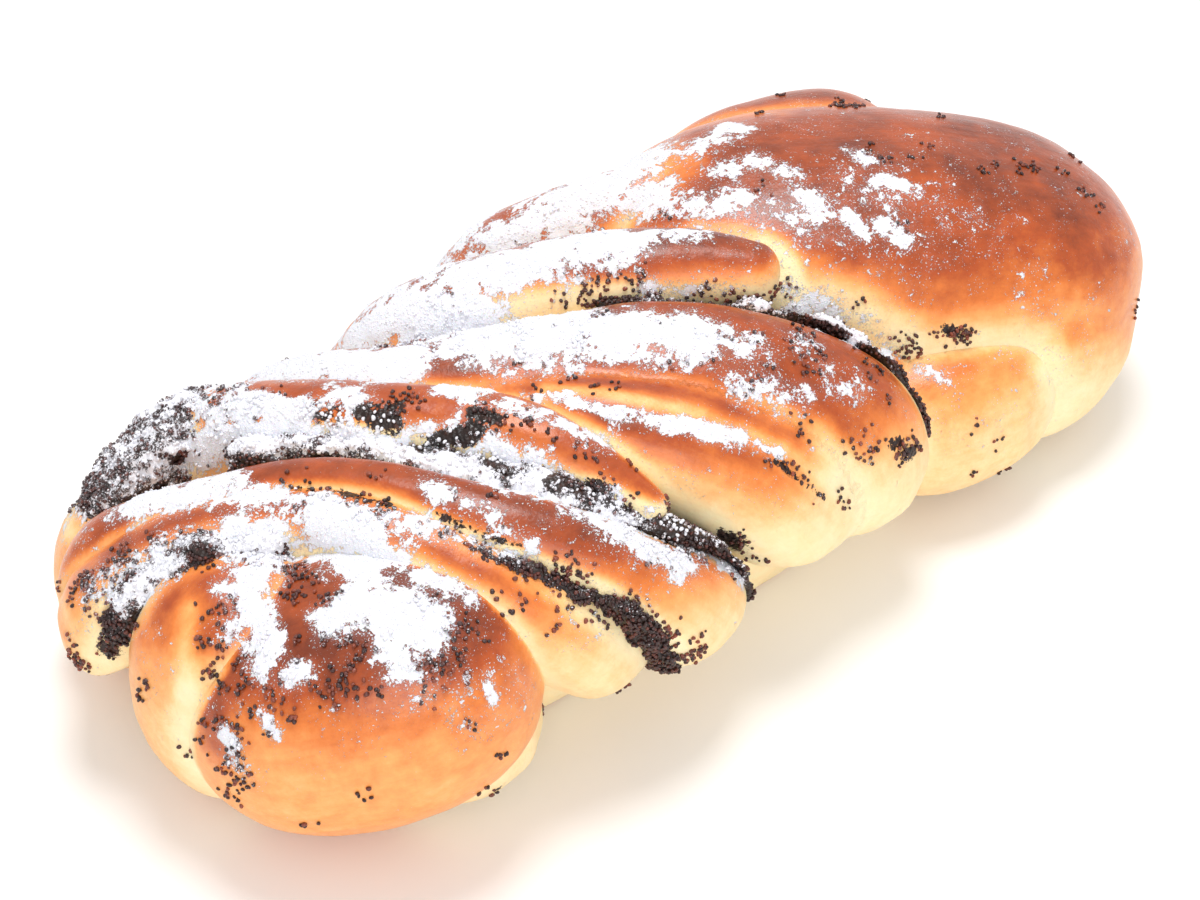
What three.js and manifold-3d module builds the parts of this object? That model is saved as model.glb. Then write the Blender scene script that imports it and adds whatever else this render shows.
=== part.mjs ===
// A twisted poppy seed cake: a filled roll of sweet yeast dough, split, twisted and baked as one loaf.
//
// Millimetres, +Z up. The loaf lies along X on the plane z = 0, with the middle of its length and
// width over the origin. The near end, with the round knob, is at -X, and the front side is at -Y.
//
// The dough strands are rolls that wind round the loaf's outline, or plump lobes at its two ends.
// Dark poppy seed filling shows as bands in the seams between them.

import * as THREE from "three";
import { mergeVertices } from "three/addons/utils/BufferGeometryUtils.js";
import Module from "manifold-3d";

// ---------------------------------------------------------------- driving dimensions
const LENGTH = 252; // the whole loaf, knob to far end
const WIDTH = 116; // across the widest strands
const HEIGHT = 65; // the crown of the loaf's outline over the table
const NEAR_SINK = 6; // how much lower the loaf is where it narrows to the knob
const SINK_START = 30; // the loaf starts to sink this far from its middle
const SINK_LENGTH = 70; // and has sunk fully after this length
const WAIST = 30; // height of the loaf's widest level
const UNDERSIDE = 32; // how far the rounded underside would reach below that level
const MIDDLE = [3, 0.1]; // the middle of the strands' box in X and Y, which goes over the origin
const GAP = 0.3; // clear space between two pieces that touch
const SEED = [1.1, 0.88, 0.82]; // a poppy seed's length, width and thickness

const PLAN_POWER = 3.2; // how square the loaf is, seen from above
const CROWN_POWER = 2.3; // how square its upper half is in section
const SECTION_POWER = 2.3; // how square a strand is in section
const UNDER_POWER = 2; // how square the loaf is in section below its widest level
const NEAREST_TO_END = 0.999; // the outline is followed this far out, as a share of half its length

const RING_SIDES = 12; // faces round a strand
const RING_STEP = 15; // the most between two sections of a strand
const END_RINGS = 2; // sections in each rounded end
const LOBE_SIDES = 16; // faces round a lobe
const LOBE_BANDS = 9; // bands from its foot to its top
const RING_SIDES_FILLING = 8; // faces round a band of filling

const RAD = Math.PI / 180;

// ---------------------------------------------------------------- the strands
// A roll winds round the loaf from one angle to another: 0 is the top, + the front, - the back.
// x is its place along the loaf, half its half width, deep its half thickness and rise how far its
// crest stands out of the loaf's outline. Each list is spread evenly along the roll.
const ROLLS = {
  first_twist: {
    turn: [-130, 125],
    x: [-116, -121, -118, -104, -86, -77, -66, -46, -36],
    half: [10, 11, 11, 10, 8, 7.5, 10, 13, 13],
    deep: [11, 12, 12, 10, 9, 9, 12, 14, 12],
    rise: [3, -1, -4, -1, 0, 2, -1, -5, -2],
  },
  second_twist: {
    turn: [-117, 126],
    x: [-113, -116, -108, -93, -80, -71, -61, -43, -25, -20],
    half: [8, 8, 7, 6, 6, 7, 8, 10, 13, 12],
    deep: [10, 10, 9, 8, 9, 10, 11, 12, 13, 11],
    rise: [3, -2, -2, -1, 1, 2, 2, 0, -1, 0],
  },
  third_twist: {
    turn: [-118, 66],
    x: [-86, -81, -70, -56, -43, -31],
    half: [9, 9, 9, 9, 9, 4],
    deep: [10, 11, 12, 12, 12, 6],
    rise: [2, 1, 2, 1, 1, -3],
  },
  fourth_twist_pale: {
    turn: [-16, 124],
    x: [-44, -37, -26, -6, 10, 12],
    half: [8, 10, 12, 16, 17, 13],
    deep: [12, 13, 14, 17, 17, 13],
    rise: [-6, -3, 0, -2, -6, -2],
  },
  fourth_twist_brown: {
    turn: [-112, 122],
    x: [-68, -60, -47, -24, 2, 24, 24],
    half: [11, 12, 13, 15, 17, 18, 13],
    deep: [11, 13, 15, 16, 17, 17, 12],
    rise: [0, -4, -3, 0, 2, -5, -2],
  },
  fifth_twist: {
    turn: [-116, 22],
    x: [-42, -37, -20, 9, 28],
    half: [11, 12, 12, 11, 6],
    deep: [12, 14, 14, 13, 8],
    rise: [-2, -6, 0, 3, 1],
  },
  back_shoulder: {
    turn: [-118, -42],
    x: [-14, -8, 10, 44],
    half: [12, 14, 14, 10],
    deep: [12, 14, 14, 12],
    rise: [-2, -1, 2, 1],
  },
};

// A lobe is a plump ball of dough: its middle, its half sizes, and how far it is turned about Z
// (yaw) and tipped, its +X end down (dip).
const LOBES = {
  near_knob: { at: [-88, -23, 28], size: [34, 26, 25], yaw: -41, dip: -17 },
  near_knob_fold: { at: [-74, -27, 15], size: [20, 19, 15], yaw: -41, dip: 0 },
  near_end_fold: { at: [-101, -4, 26], size: [21, 19, 26], yaw: 0, dip: 0 },
  near_back_side: { at: [-95, 36, 20], size: [19, 17, 20], yaw: 0, dip: 0 },
  far_dome: { at: [69, 3, 34], size: [63, 39, 32], yaw: -30, dip: 7 },
  far_end: { at: [96, 7, 25], size: [34, 40, 25], yaw: 0, dip: 0 },
  far_end_low: { at: [92, -28, 22], size: [28, 20, 21], yaw: 14, dip: 0 },
  far_fold: { at: [62, -30, 21], size: [25, 20, 18], yaw: -10, dip: 0 },
  back_roll: { at: [70, 33, 36], size: [36, 20, 23], yaw: -12, dip: 0 },
};

// Bands of filling, wound like the strands.
const BANDS = {
  filling_first: {
    turn: [2, 111],
    x: [-80, -75, -64, -44, -30],
    half: [2, 2.4, 3.4, 4.6, 4],
    deep: [6, 6, 7, 7, 6],
    rise: [-1.5, 0, 0.5, -0.5, 0],
  },
  filling_second: {
    turn: [-44, 112],
    x: [-84, -68, -60, -47, -20, -11],
    half: [5, 6, 6, 6, 3.5, 3],
    deep: [7, 7, 7, 7, 6, 6],
    rise: [0, -0.5, -1, -1.5, -3, -3],
  },
  filling_third: {
    turn: [-42, 102],
    x: [-28, -10, 8, 28, 38, 40],
    half: [3, 3.4, 4, 4.6, 3, 3],
    deep: [8, 8, 8, 8, 8, 6],
    rise: [-4, -2.3, -2, -1, -3, -6],
  },
  filling_back: {
    turn: [-60, -92],
    x: [-70, -86, -101, -110],
    half: [6, 9, 9, 7],
    deep: [8, 9, 9, 8],
    rise: [1, 3, 3, 0],
  },
};

// The filling that lies on the near end is given by the points of its crest, because it passes over
// the end of the loaf, where the angle round it no longer tells places apart.
const NEAR_FILLING = {
  crest: [
    [-88, -6, 57],
    [-106, 4, 53],
    [-120, 12, 38],
    [-122, 12, 18],
  ],
  half: [3, 6, 8, 7],
  deep: [5, 6, 7, 7],
};

// The dough inside, which closes the loaf's underside.
const CORE = { at: [-2, 0, 20], size: [110, 38, 28], yaw: 0, dip: 0, power: 2.6 };

// ---------------------------------------------------------------- small helpers
const clamp = (value, low, high) => Math.min(high, Math.max(low, value));
const signedPower = (value, power) => Math.sign(value) * Math.abs(value) ** power;

// A smooth value from a list that is spread evenly over t = 0..1 (Catmull-Rom).
function along(values, t) {
  const last = values.length - 1;
  const place = clamp(t, 0, 1) * last;
  const i = Math.min(Math.floor(place), last - 1);
  const u = place - i;
  const b = values[i];
  const c = values[i + 1];
  const a = i > 0 ? values[i - 1] : 2 * b - c;
  const d = i + 2 <= last ? values[i + 2] : 2 * c - b;
  const cubic = -a + 3 * b - 3 * c + d;
  const square = 2 * a - 5 * b + 4 * c - d;
  return 0.5 * (2 * b + (c - a) * u + square * u * u + cubic * u * u * u);
}

// ---------------------------------------------------------------- the loaf's outline
// The distance from the loaf's axis to its outline, at a place along it and an angle round it.
function outline(x, turn) {
  const outwards = Math.min(Math.abs((2 * x) / LENGTH), NEAREST_TO_END);
  const taper = (1 - outwards ** PLAN_POWER) ** (1 / PLAN_POWER);
  const sunk = clamp((-x - SINK_START) / SINK_LENGTH, 0, 1);
  const crown = HEIGHT - NEAR_SINK * sunk * sunk * (3 - 2 * sunk);
  const across = Math.abs(Math.sin(turn)) / ((WIDTH / 2) * taper);
  const up = Math.cos(turn);
  const power = up > 0 ? CROWN_POWER : UNDER_POWER;
  const reach = (up > 0 ? crown - WAIST : UNDERSIDE) * taper;
  return (across ** power + (Math.abs(up) / reach) ** power) ** (-1 / power);
}

// A point on a strand's crest.
function crestOf(roll, t) {
  if (roll.crest) {
    return new THREE.Vector3(
      along(roll.crest.map((p) => p[0]), t),
      along(roll.crest.map((p) => p[1]), t),
      along(roll.crest.map((p) => p[2]), t),
    );
  }
  const turn = along(roll.turn, t) * RAD;
  const x = along(roll.x, t);
  const reach = outline(x, turn) + along(roll.rise, t);
  return new THREE.Vector3(x, -Math.sin(turn) * reach, WAIST + Math.cos(turn) * reach);
}

// ---------------------------------------------------------------- a strand's sections
const SPINE_END = 86; // the strands' thickness points at a spine this long each way
const SPINE_HEIGHT = 20;
const TRACE_STEPS = 60;
const LONGEST_CAP = 0.45; // the most of a strand's length that a rounded end takes

// The strand traced in small steps: its centre, its two section directions, and its length so far.
function traceRoll(roll) {
  const crest = [];
  for (let i = 0; i <= TRACE_STEPS; i++) crest.push(crestOf(roll, i / TRACE_STEPS));
  const steps = crest.map((point, i) => {
    const before = crest[Math.max(i - 1, 0)];
    const after = crest[Math.min(i + 1, TRACE_STEPS)];
    const forward = after.clone().sub(before).normalize();
    const inside = new THREE.Vector3(clamp(point.x, -SPINE_END, SPINE_END), 0, SPINE_HEIGHT);
    const outward = point.clone().sub(inside);
    outward.addScaledVector(forward, -outward.dot(forward)).normalize();
    const sideways = outward.clone().cross(forward);
    const t = i / TRACE_STEPS;
    const half = along(roll.half, t);
    const deep = along(roll.deep, t);
    const centre = point.clone().addScaledVector(outward, -deep);
    return { centre, outward, sideways, half, deep, length: 0 };
  });
  for (let i = 1; i <= TRACE_STEPS; i++) {
    steps[i].length = steps[i - 1].length + steps[i].centre.distanceTo(steps[i - 1].centre);
  }
  return steps;
}

// The traced step at a given length along the strand.
function stepAt(steps, length) {
  let i = 1;
  while (i < steps.length - 1 && steps[i].length < length) i++;
  const before = steps[i - 1];
  const after = steps[i];
  const u = clamp((length - before.length) / (after.length - before.length), 0, 1);
  return {
    centre: before.centre.clone().lerp(after.centre, u),
    outward: before.outward.clone().lerp(after.outward, u).normalize(),
    sideways: before.sideways.clone().lerp(after.sideways, u).normalize(),
    half: before.half + (after.half - before.half) * u,
    deep: before.deep + (after.deep - before.deep) * u,
  };
}

// The lengths at which a strand's sections stand, and how far each has closed towards its end.
function sectionPlaces(steps) {
  const total = steps.at(-1).length;
  const startCap = Math.min(steps[0].half, LONGEST_CAP * total);
  const endCap = Math.min(steps.at(-1).half, LONGEST_CAP * total);
  const places = [];
  for (let i = 1; i <= END_RINGS; i++) {
    const angle = (i / (END_RINGS + 1)) * (Math.PI / 2);
    places.push({ length: startCap * (1 - Math.cos(angle)), open: Math.sin(angle) });
  }
  const straight = total - startCap - endCap;
  const spans = Math.ceil(straight / RING_STEP);
  for (let i = 0; i <= spans; i++) {
    places.push({ length: startCap + (straight * i) / spans, open: 1 });
  }
  for (let i = END_RINGS; i >= 1; i--) {
    const angle = (i / (END_RINGS + 1)) * (Math.PI / 2);
    places.push({ length: total - endCap * (1 - Math.cos(angle)), open: Math.sin(angle) });
  }
  return places;
}

// ---------------------------------------------------------------- closed surfaces
const wasm = await Module();
wasm.setup();

const SAME_PLACE = 1e-4; // two corners nearer than this are one corner

// A solid from rings of points that are closed at both ends by a single point.
function solidFromRings(first, rings, last) {
  const points = [first, ...rings.flat(), last];
  const sides = rings[0].length;
  const corner = (ring, side) => 1 + ring * sides + (side % sides);
  const faces = [];
  for (let side = 0; side < sides; side++) {
    faces.push(0, corner(0, side + 1), corner(0, side));
    for (let ring = 0; ring + 1 < rings.length; ring++) {
      faces.push(corner(ring, side), corner(ring, side + 1), corner(ring + 1, side + 1));
      faces.push(corner(ring, side), corner(ring + 1, side + 1), corner(ring + 1, side));
    }
    faces.push(points.length - 1, corner(rings.length - 1, side), corner(rings.length - 1, side + 1));
  }
  const solid = new wasm.Manifold(
    new wasm.Mesh({
      numProp: 3,
      vertProperties: new Float32Array(points.flatMap((p) => [p.x, p.y, p.z])),
      triVerts: new Uint32Array(faces),
    }),
  );
  if (solid.volume() > 0) return solid;
  throw new Error("a surface faces inwards");
}

function rollSolid(roll, grow = 0, sides = RING_SIDES) {
  const steps = traceRoll(roll);
  const rings = sectionPlaces(steps).map(({ length, open }) => {
    const { centre, outward, sideways, half, deep } = stepAt(steps, length);
    const ring = [];
    for (let side = 0; side < sides; side++) {
      const angle = (side / sides) * 2 * Math.PI;
      const across = signedPower(Math.cos(angle), 2 / SECTION_POWER) * (half * open + grow);
      const out = signedPower(Math.sin(angle), 2 / SECTION_POWER) * (deep * open + grow);
      ring.push(centre.clone().addScaledVector(sideways, across).addScaledVector(outward, out));
    }
    return ring;
  });
  const tip = (index, towards) => {
    const end = steps[index].centre;
    const inner = steps[towards].centre;
    return end.clone().addScaledVector(end.clone().sub(inner).normalize(), grow);
  };
  return solidFromRings(tip(0, 1), rings, tip(steps.length - 1, steps.length - 2));
}

function lobeTurn({ yaw, dip }) {
  return new THREE.Euler(0, dip * RAD, yaw * RAD, "ZYX");
}

function lobeSolid(lobe, grow = 0) {
  const power = 2 / (lobe.power ?? SECTION_POWER);
  const place = new THREE.Vector3(...lobe.at);
  const [a, b, c] = lobe.size.map((size) => size + grow);
  const turn = lobeTurn(lobe);
  const rings = [];
  for (let band = 1; band < LOBE_BANDS; band++) {
    const height = (band / LOBE_BANDS - 0.5) * Math.PI;
    const ring = [];
    for (let side = 0; side < LOBE_SIDES; side++) {
      const angle = (side / LOBE_SIDES) * 2 * Math.PI;
      const wide = signedPower(Math.cos(height), power);
      const x = a * wide * signedPower(Math.cos(angle), power);
      const y = b * wide * signedPower(Math.sin(angle), power);
      const z = c * signedPower(Math.sin(height), power);
      ring.push(new THREE.Vector3(x, y, z).applyEuler(turn).add(place));
    }
    rings.push(ring);
  }
  const foot = new THREE.Vector3(0, 0, -c).applyEuler(turn).add(place);
  const top = new THREE.Vector3(0, 0, c).applyEuler(turn).add(place);
  return solidFromRings(foot, rings, top);
}

// A solid from a library shape, with its shared corners merged.
function solidFromGeometry(geometry) {
  const bare = geometry.clone();
  bare.deleteAttribute("normal");
  bare.deleteAttribute("uv");
  const closed = mergeVertices(bare, SAME_PLACE);
  const vertProperties = closed.getAttribute("position").array;
  const triVerts = new Uint32Array(closed.index.array);
  return new wasm.Manifold(new wasm.Mesh({ numProp: 3, vertProperties, triVerts }));
}

// ---------------------------------------------------------------- the pieces
// A piece is one or more rolls and lobes joined. Earlier pieces keep their whole form, and later
// ones are cut back from them.
const roll = (shape, sides) => (grow) => rollSolid(shape, grow, sides);
const lobe = (shape) => (grow) => lobeSolid(shape, grow);
const band = (name) => roll(BANDS[name], RING_SIDES_FILLING);

const CRUST = { color: 0xc9783c, roughness: 0.45, metalness: 0 };
const PALE_DOUGH = { color: 0xe9c98b, roughness: 0.6, metalness: 0 };
const FILLING = { color: 0x2a1c19, roughness: 0.5, metalness: 0 };

const PIECES = {
  core: { finish: PALE_DOUGH, shapes: [lobe(CORE)] },
  filling_first: { finish: FILLING, shapes: [band("filling_first")] },
  filling_second: { finish: FILLING, shapes: [band("filling_second")] },
  filling_third: { finish: FILLING, shapes: [band("filling_third")] },
  filling_back: { finish: FILLING, shapes: [band("filling_back")] },
  filling_near: { finish: FILLING, shapes: [roll(NEAR_FILLING, RING_SIDES_FILLING)] },
  near_knob: { finish: CRUST, shapes: [lobe(LOBES.near_knob)] },
  first_twist: { finish: CRUST, shapes: [roll(ROLLS.first_twist)] },
  second_twist: { finish: CRUST, shapes: [roll(ROLLS.second_twist)] },
  third_twist: { finish: CRUST, shapes: [roll(ROLLS.third_twist)] },
  fourth_twist: {
    finish: CRUST,
    shapes: [roll(ROLLS.fourth_twist_brown), roll(ROLLS.fourth_twist_pale)],
  },
  fifth_twist: { finish: CRUST, shapes: [roll(ROLLS.fifth_twist)] },
  far_fold: { finish: PALE_DOUGH, shapes: [lobe(LOBES.far_fold)] },
  far_dome: {
    finish: CRUST,
    shapes: [lobe(LOBES.far_dome), lobe(LOBES.far_end), lobe(LOBES.far_end_low)],
  },
  back_roll: { finish: CRUST, shapes: [lobe(LOBES.back_roll)] },
  back_shoulder: { finish: CRUST, shapes: [roll(ROLLS.back_shoulder)] },
  near_end_fold: { finish: PALE_DOUGH, shapes: [lobe(LOBES.near_end_fold)] },
  near_back_side: { finish: PALE_DOUGH, shapes: [lobe(LOBES.near_back_side)] },
  near_knob_fold: { finish: PALE_DOUGH, shapes: [lobe(LOBES.near_knob_fold)] },
};

// Everything stands on the table: what would reach below it is cut off flat.
function tableSolid() {
  const box = new THREE.BoxGeometry(2 * LENGTH, 2 * WIDTH, HEIGHT);
  box.translate(0, 0, -HEIGHT / 2);
  return solidFromGeometry(box);
}

function joined(shapes, grow) {
  return shapes.map((shape) => shape(grow)).reduce((whole, shape) => whole.add(shape));
}

// The largest of the bodies that a cut leaves, so that no loose scrap stays.
function largestBody(solid) {
  const bodies = solid.decompose();
  return bodies.reduce((best, body) => (body.volume() > best.volume() ? body : best));
}

function cutPieces() {
  const table = tableSolid();
  const earlier = [];
  const solids = {};
  for (const [name, { shapes }] of Object.entries(PIECES)) {
    let solid = joined(shapes, 0).subtract(table);
    for (const taken of earlier) solid = solid.subtract(taken);
    solids[name] = largestBody(solid);
    // A tightly bent roll can reach out of its own grown form, so the cut takes both.
    earlier.push(joined(shapes, GAP).add(joined(shapes, 0)));
  }
  return solids;
}

function meshOf(name, solid) {
  const { vertProperties, triVerts } = solid.getMesh();
  const geometry = new THREE.BufferGeometry();
  geometry.setAttribute("position", new THREE.BufferAttribute(vertProperties, 3));
  geometry.setIndex(new THREE.BufferAttribute(triVerts, 1));
  geometry.computeVertexNormals();
  const mesh = new THREE.Mesh(geometry, new THREE.MeshStandardMaterial(PIECES[name].finish));
  mesh.name = name;
  return mesh;
}

// ---------------------------------------------------------------- loose seeds
// Seeds lie along trails: each follows a strand or a band, strays from it and is spread evenly.
const SEED_TRAILS = [
  { beside: { crest: [[-113, -14, 44], [-96, -36, 50], [-74, -40, 44]] }, stray: 15, count: 28 },
  { beside: BANDS.filling_first, stray: 10, count: 16 },
  { beside: BANDS.filling_second, stray: 11, count: 12 },
  { beside: ROLLS.fourth_twist_brown, stray: 13, count: 18 },
  { beside: BANDS.filling_third, stray: 9, count: 10 },
  { beside: NEAR_FILLING, stray: 10, count: 10 },
  { beside: { crest: [[92, 30, 62], [112, 12, 52]] }, stray: 8, count: 8 },
  { beside: { crest: [[58, -38, 46], [70, -42, 42]] }, stray: 5, count: 5 },
];
const SEED_CLEAR = 2; // a seed this many times its size would still miss the other pieces
const SEED_APART = 2.2; // between the middles of two seeds
const SEED_LIFT = 0.1; // how far a seed's middle lies over the dough
const RAY_START = 25; // a line in to the loaf starts this far outside it
const TRIES = 12; // places tried for each seed
const RANDOM_START = 7;

// Repeatable random numbers from 0 to 1, from a linear congruential generator.
function randomFrom(seed) {
  let state = seed;
  return () => {
    state = (Math.imul(state, 1664525) + 1013904223) >>> 0;
    return state / 2 ** 32;
  };
}

// Where a line from outside, through a point moved aside from the crest, meets the first piece.
function placeBeside(meshes, crest, shift) {
  const inside = new THREE.Vector3(clamp(crest.x, -SPINE_END, SPINE_END), 0, SPINE_HEIGHT);
  const outward = crest.clone().sub(inside).normalize();
  const aside = new THREE.Vector3(1, 0, 0).cross(outward).normalize();
  const onward = outward.clone().cross(aside);
  const start = crest.clone().addScaledVector(outward, RAY_START);
  start.addScaledVector(onward, shift[0]).addScaledVector(aside, shift[1]);
  const caster = new THREE.Raycaster(start, outward.clone().negate(), 0, 2 * RAY_START);
  const hit = caster.intersectObjects(meshes, false)[0];
  if (!hit || hit.object.name.startsWith("filling")) return null;
  return { name: hit.object.name, at: hit.point.addScaledVector(outward, SEED_LIFT) };
}

function seedSolid(at, turns, scale = 1) {
  const seed = new THREE.IcosahedronGeometry(scale / 2, 0);
  seed.scale(...SEED);
  seed.rotateX(turns[0] * Math.PI);
  seed.rotateZ(turns[1] * Math.PI);
  seed.translate(at.x, at.y, at.z);
  return solidFromGeometry(seed);
}

function touchesAnother(solids, place, turns) {
  const wide = seedSolid(place.at, turns, SEED_CLEAR);
  return Object.entries(solids).some(
    ([name, solid]) => name !== place.name && wide.intersect(solid).volume() > 0,
  );
}

function addSeeds(solids) {
  const random = randomFrom(RANDOM_START);
  const meshes = Object.entries(solids).map(([name, solid]) => meshOf(name, solid));
  const placed = [];
  for (const { beside, stray, count } of SEED_TRAILS) {
    const tries = TRIES * count;
    let left = count;
    for (let attempt = 0; attempt < tries && left > 0; attempt++) {
      const crest = crestOf(beside, (attempt + random()) / tries);
      const shift = [(2 * random() - 1) * stray, (2 * random() - 1) * stray];
      const turns = [random(), random()];
      const behind = left / count > 1 - attempt / tries;
      const place = behind && placeBeside(meshes, crest, shift);
      if (!place || placed.some((at) => at.distanceTo(place.at) < SEED_APART)) continue;
      if (touchesAnother(solids, place, turns)) continue;
      placed.push(place.at);
      solids[place.name] = solids[place.name].add(seedSolid(place.at, turns));
      left--;
    }
  }
}

// ---------------------------------------------------------------- the whole loaf
function poppySeedCake() {
  const solids = cutPieces();
  addSeeds(solids);
  const loaf = new THREE.Group();
  loaf.name = "poppy_seed_cake";
  for (const [name, solid] of Object.entries(solids)) loaf.add(meshOf(name, solid));
  loaf.position.set(-MIDDLE[0], -MIDDLE[1], 0);
  return loaf;
}

export default poppySeedCake();
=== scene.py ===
"""A twisted poppy seed cake, dusted with powdered sugar.

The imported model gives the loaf's size and place. Here each dough strand and lobe is made again on
the same form, fine and smooth, and gets its browned crust, poppy seed filling, seeds and sugar.

Shapes are worked out in millimetres, +Z up, with the near end (the round knob) at -X and the front
side at -Y, and go into the meshes in metres.
"""

import math

import bmesh
import bpy
import numpy as np
from mathutils import Matrix, Vector
from mathutils.bvhtree import BVHTree


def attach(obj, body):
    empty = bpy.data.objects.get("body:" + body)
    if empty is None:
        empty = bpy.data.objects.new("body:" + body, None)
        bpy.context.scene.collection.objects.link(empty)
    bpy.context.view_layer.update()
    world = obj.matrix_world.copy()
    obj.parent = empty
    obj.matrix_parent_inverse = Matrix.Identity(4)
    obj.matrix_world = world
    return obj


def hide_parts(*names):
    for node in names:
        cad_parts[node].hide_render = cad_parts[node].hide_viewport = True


bl_info = {
    "name": "Poppy Seed Cake",
    "version": (1, 0, 0),
    "blender": (4, 5, 0),
    "location": "3D Viewport > Sidebar > Poppy Seed Cake",
    "description": "Builds a twisted poppy seed loaf with a browned crust, seeds and powdered sugar",
    "category": "Object",
}

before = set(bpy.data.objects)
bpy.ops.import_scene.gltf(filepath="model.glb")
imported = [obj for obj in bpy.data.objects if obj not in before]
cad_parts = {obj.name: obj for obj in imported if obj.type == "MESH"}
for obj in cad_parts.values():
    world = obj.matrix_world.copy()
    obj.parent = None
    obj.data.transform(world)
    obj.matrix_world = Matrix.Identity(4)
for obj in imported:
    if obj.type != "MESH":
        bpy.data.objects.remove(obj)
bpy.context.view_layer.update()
BODY = "root"

MM = 0.001
MIDDLE = np.array((3.0, 0.1, 0.0))  # the strands' zero lies this far from the loaf's middle

# ---------------------------------------------------------------- the loaf's outline, mm
LENGTH = 252  # the whole loaf, knob to far end
WIDTH = 116  # across the widest strands
HEIGHT = 65  # the crown of the loaf's outline over the table
NEAR_SINK = 6  # how much lower the loaf is where it narrows to the knob
SINK_START = 30  # where that sinking begins, towards the knob
SINK_LENGTH = 70  # and over what length it grows
WAIST = 30  # height of the loaf's widest level
UNDERSIDE = 32  # how far the rounded underside would reach below that level
PLAN_POWER = 3.2  # how square the loaf is, seen from above
CROWN_POWER = 2.3  # how square its upper half is in section
UNDER_POWER = 2.0  # and its lower half
SECTION_POWER = 2.3  # how square a strand is in section
NEAREST_TO_END = 0.999  # of half the length, as the outline has no width at the very end
SPINE_END = 86  # the strands' thickness points at a spine this long each way
SPINE_HEIGHT = 20  # and at this height

# ---------------------------------------------------------------- the strands
# A roll winds round the loaf from one angle to another: 0 is the top, + the front, - the back.
# x is its place along the loaf, half its half width, deep its half thickness and rise how far its
# crest stands out of the loaf's outline. Each list is spread evenly along the roll.
ROLLS = {
    "first_twist": dict(
        turn=(-130, 125),
        x=(-116, -121, -118, -104, -86, -77, -66, -46, -36),
        half=(10, 11, 11, 10, 8, 7.5, 10, 13, 13),
        deep=(11, 12, 12, 10, 9, 9, 12, 14, 12),
        rise=(3, -1, -4, -1, 0, 2, -1, -5, -2),
    ),
    "second_twist": dict(
        turn=(-117, 126),
        x=(-113, -116, -108, -93, -80, -71, -61, -43, -25, -20),
        half=(8, 8, 7, 6, 6, 7, 8, 10, 13, 12),
        deep=(10, 10, 9, 8, 9, 10, 11, 12, 13, 11),
        rise=(3, -2, -2, -1, 1, 2, 2, 0, -1, 0),
    ),
    "third_twist": dict(
        turn=(-118, 66),
        x=(-86, -81, -70, -56, -43, -31),
        half=(9, 9, 9, 9, 9, 4),
        deep=(10, 11, 12, 12, 12, 6),
        rise=(2, 1, 2, 1, 1, -3),
    ),
    "fourth_twist_pale": dict(
        turn=(-16, 124),
        x=(-44, -37, -26, -6, 10, 12),
        half=(8, 10, 12, 16, 17, 13),
        deep=(12, 13, 14, 17, 17, 13),
        rise=(-6, -3, 0, -2, -6, -2),
    ),
    "fourth_twist_brown": dict(
        turn=(-112, 122),
        x=(-68, -60, -47, -24, 1.5, 23, 23),
        half=(11, 12, 13, 15, 17.5, 17.5, 12.5),
        deep=(11, 13, 15, 16, 17, 17, 12),
        rise=(0, -4, -3, 0, 2, -5, -2),
    ),
    "fifth_twist": dict(
        turn=(-116, 22),
        x=(-42, -37, -20, 9, 28),
        half=(11, 12, 12, 11, 6),
        deep=(12, 14, 14, 13, 8),
        rise=(-2, -6, 0, 3, 1),
    ),
    "back_shoulder": dict(
        turn=(-118, -42),
        x=(-14, -8, 10, 44),
        half=(12, 14, 14, 10),
        deep=(12, 14, 14, 12),
        rise=(-2, -1, 2, 1),
    ),
    "filling_first": dict(
        turn=(2, 111),
        x=(-80, -75, -64, -44, -30),
        half=(2, 2.4, 3.4, 4.2, 3.4),
        deep=(6, 6, 7, 7, 6),
        rise=(-1.5, 0, 0.3, -1, -1.2),
    ),
    "filling_second": dict(
        turn=(-44, 112),
        x=(-84, -68, -60, -47, -20, -11),
        half=(5, 6, 6, 5.5, 2.6, 2),
        deep=(7, 7, 7, 7, 6, 6),
        rise=(0, -0.5, -1, -1.7, -5, -6),
    ),
    "filling_third": dict(
        turn=(-42, 102),
        x=(-28, -10, 8, 27, 36.5, 38.5),
        half=(3, 3.4, 3, 2.2, 2, 2),
        deep=(8, 8, 8, 8, 7, 5),
        rise=(-4, -2.3, -3.8, -5.6, -9, -13),
    ),
    "filling_back": dict(
        turn=(-60, -92),
        x=(-70, -86, -101, -110),
        half=(6, 9, 9, 7),
        deep=(8, 9, 9, 8),
        rise=(1, 3, 3, 0),
    ),
    # This one passes over the end of the loaf, so it is given by the points of its crest.
    "filling_near": dict(
        crest=((-89, -5, 54.5), (-106, 5, 52.3), (-119.6, 14, 38), (-119, 14.5, 22)),
        half=(2.4, 5.4, 5.8, 2.6),
        deep=(5, 5.6, 6, 6),
    ),
}

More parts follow.
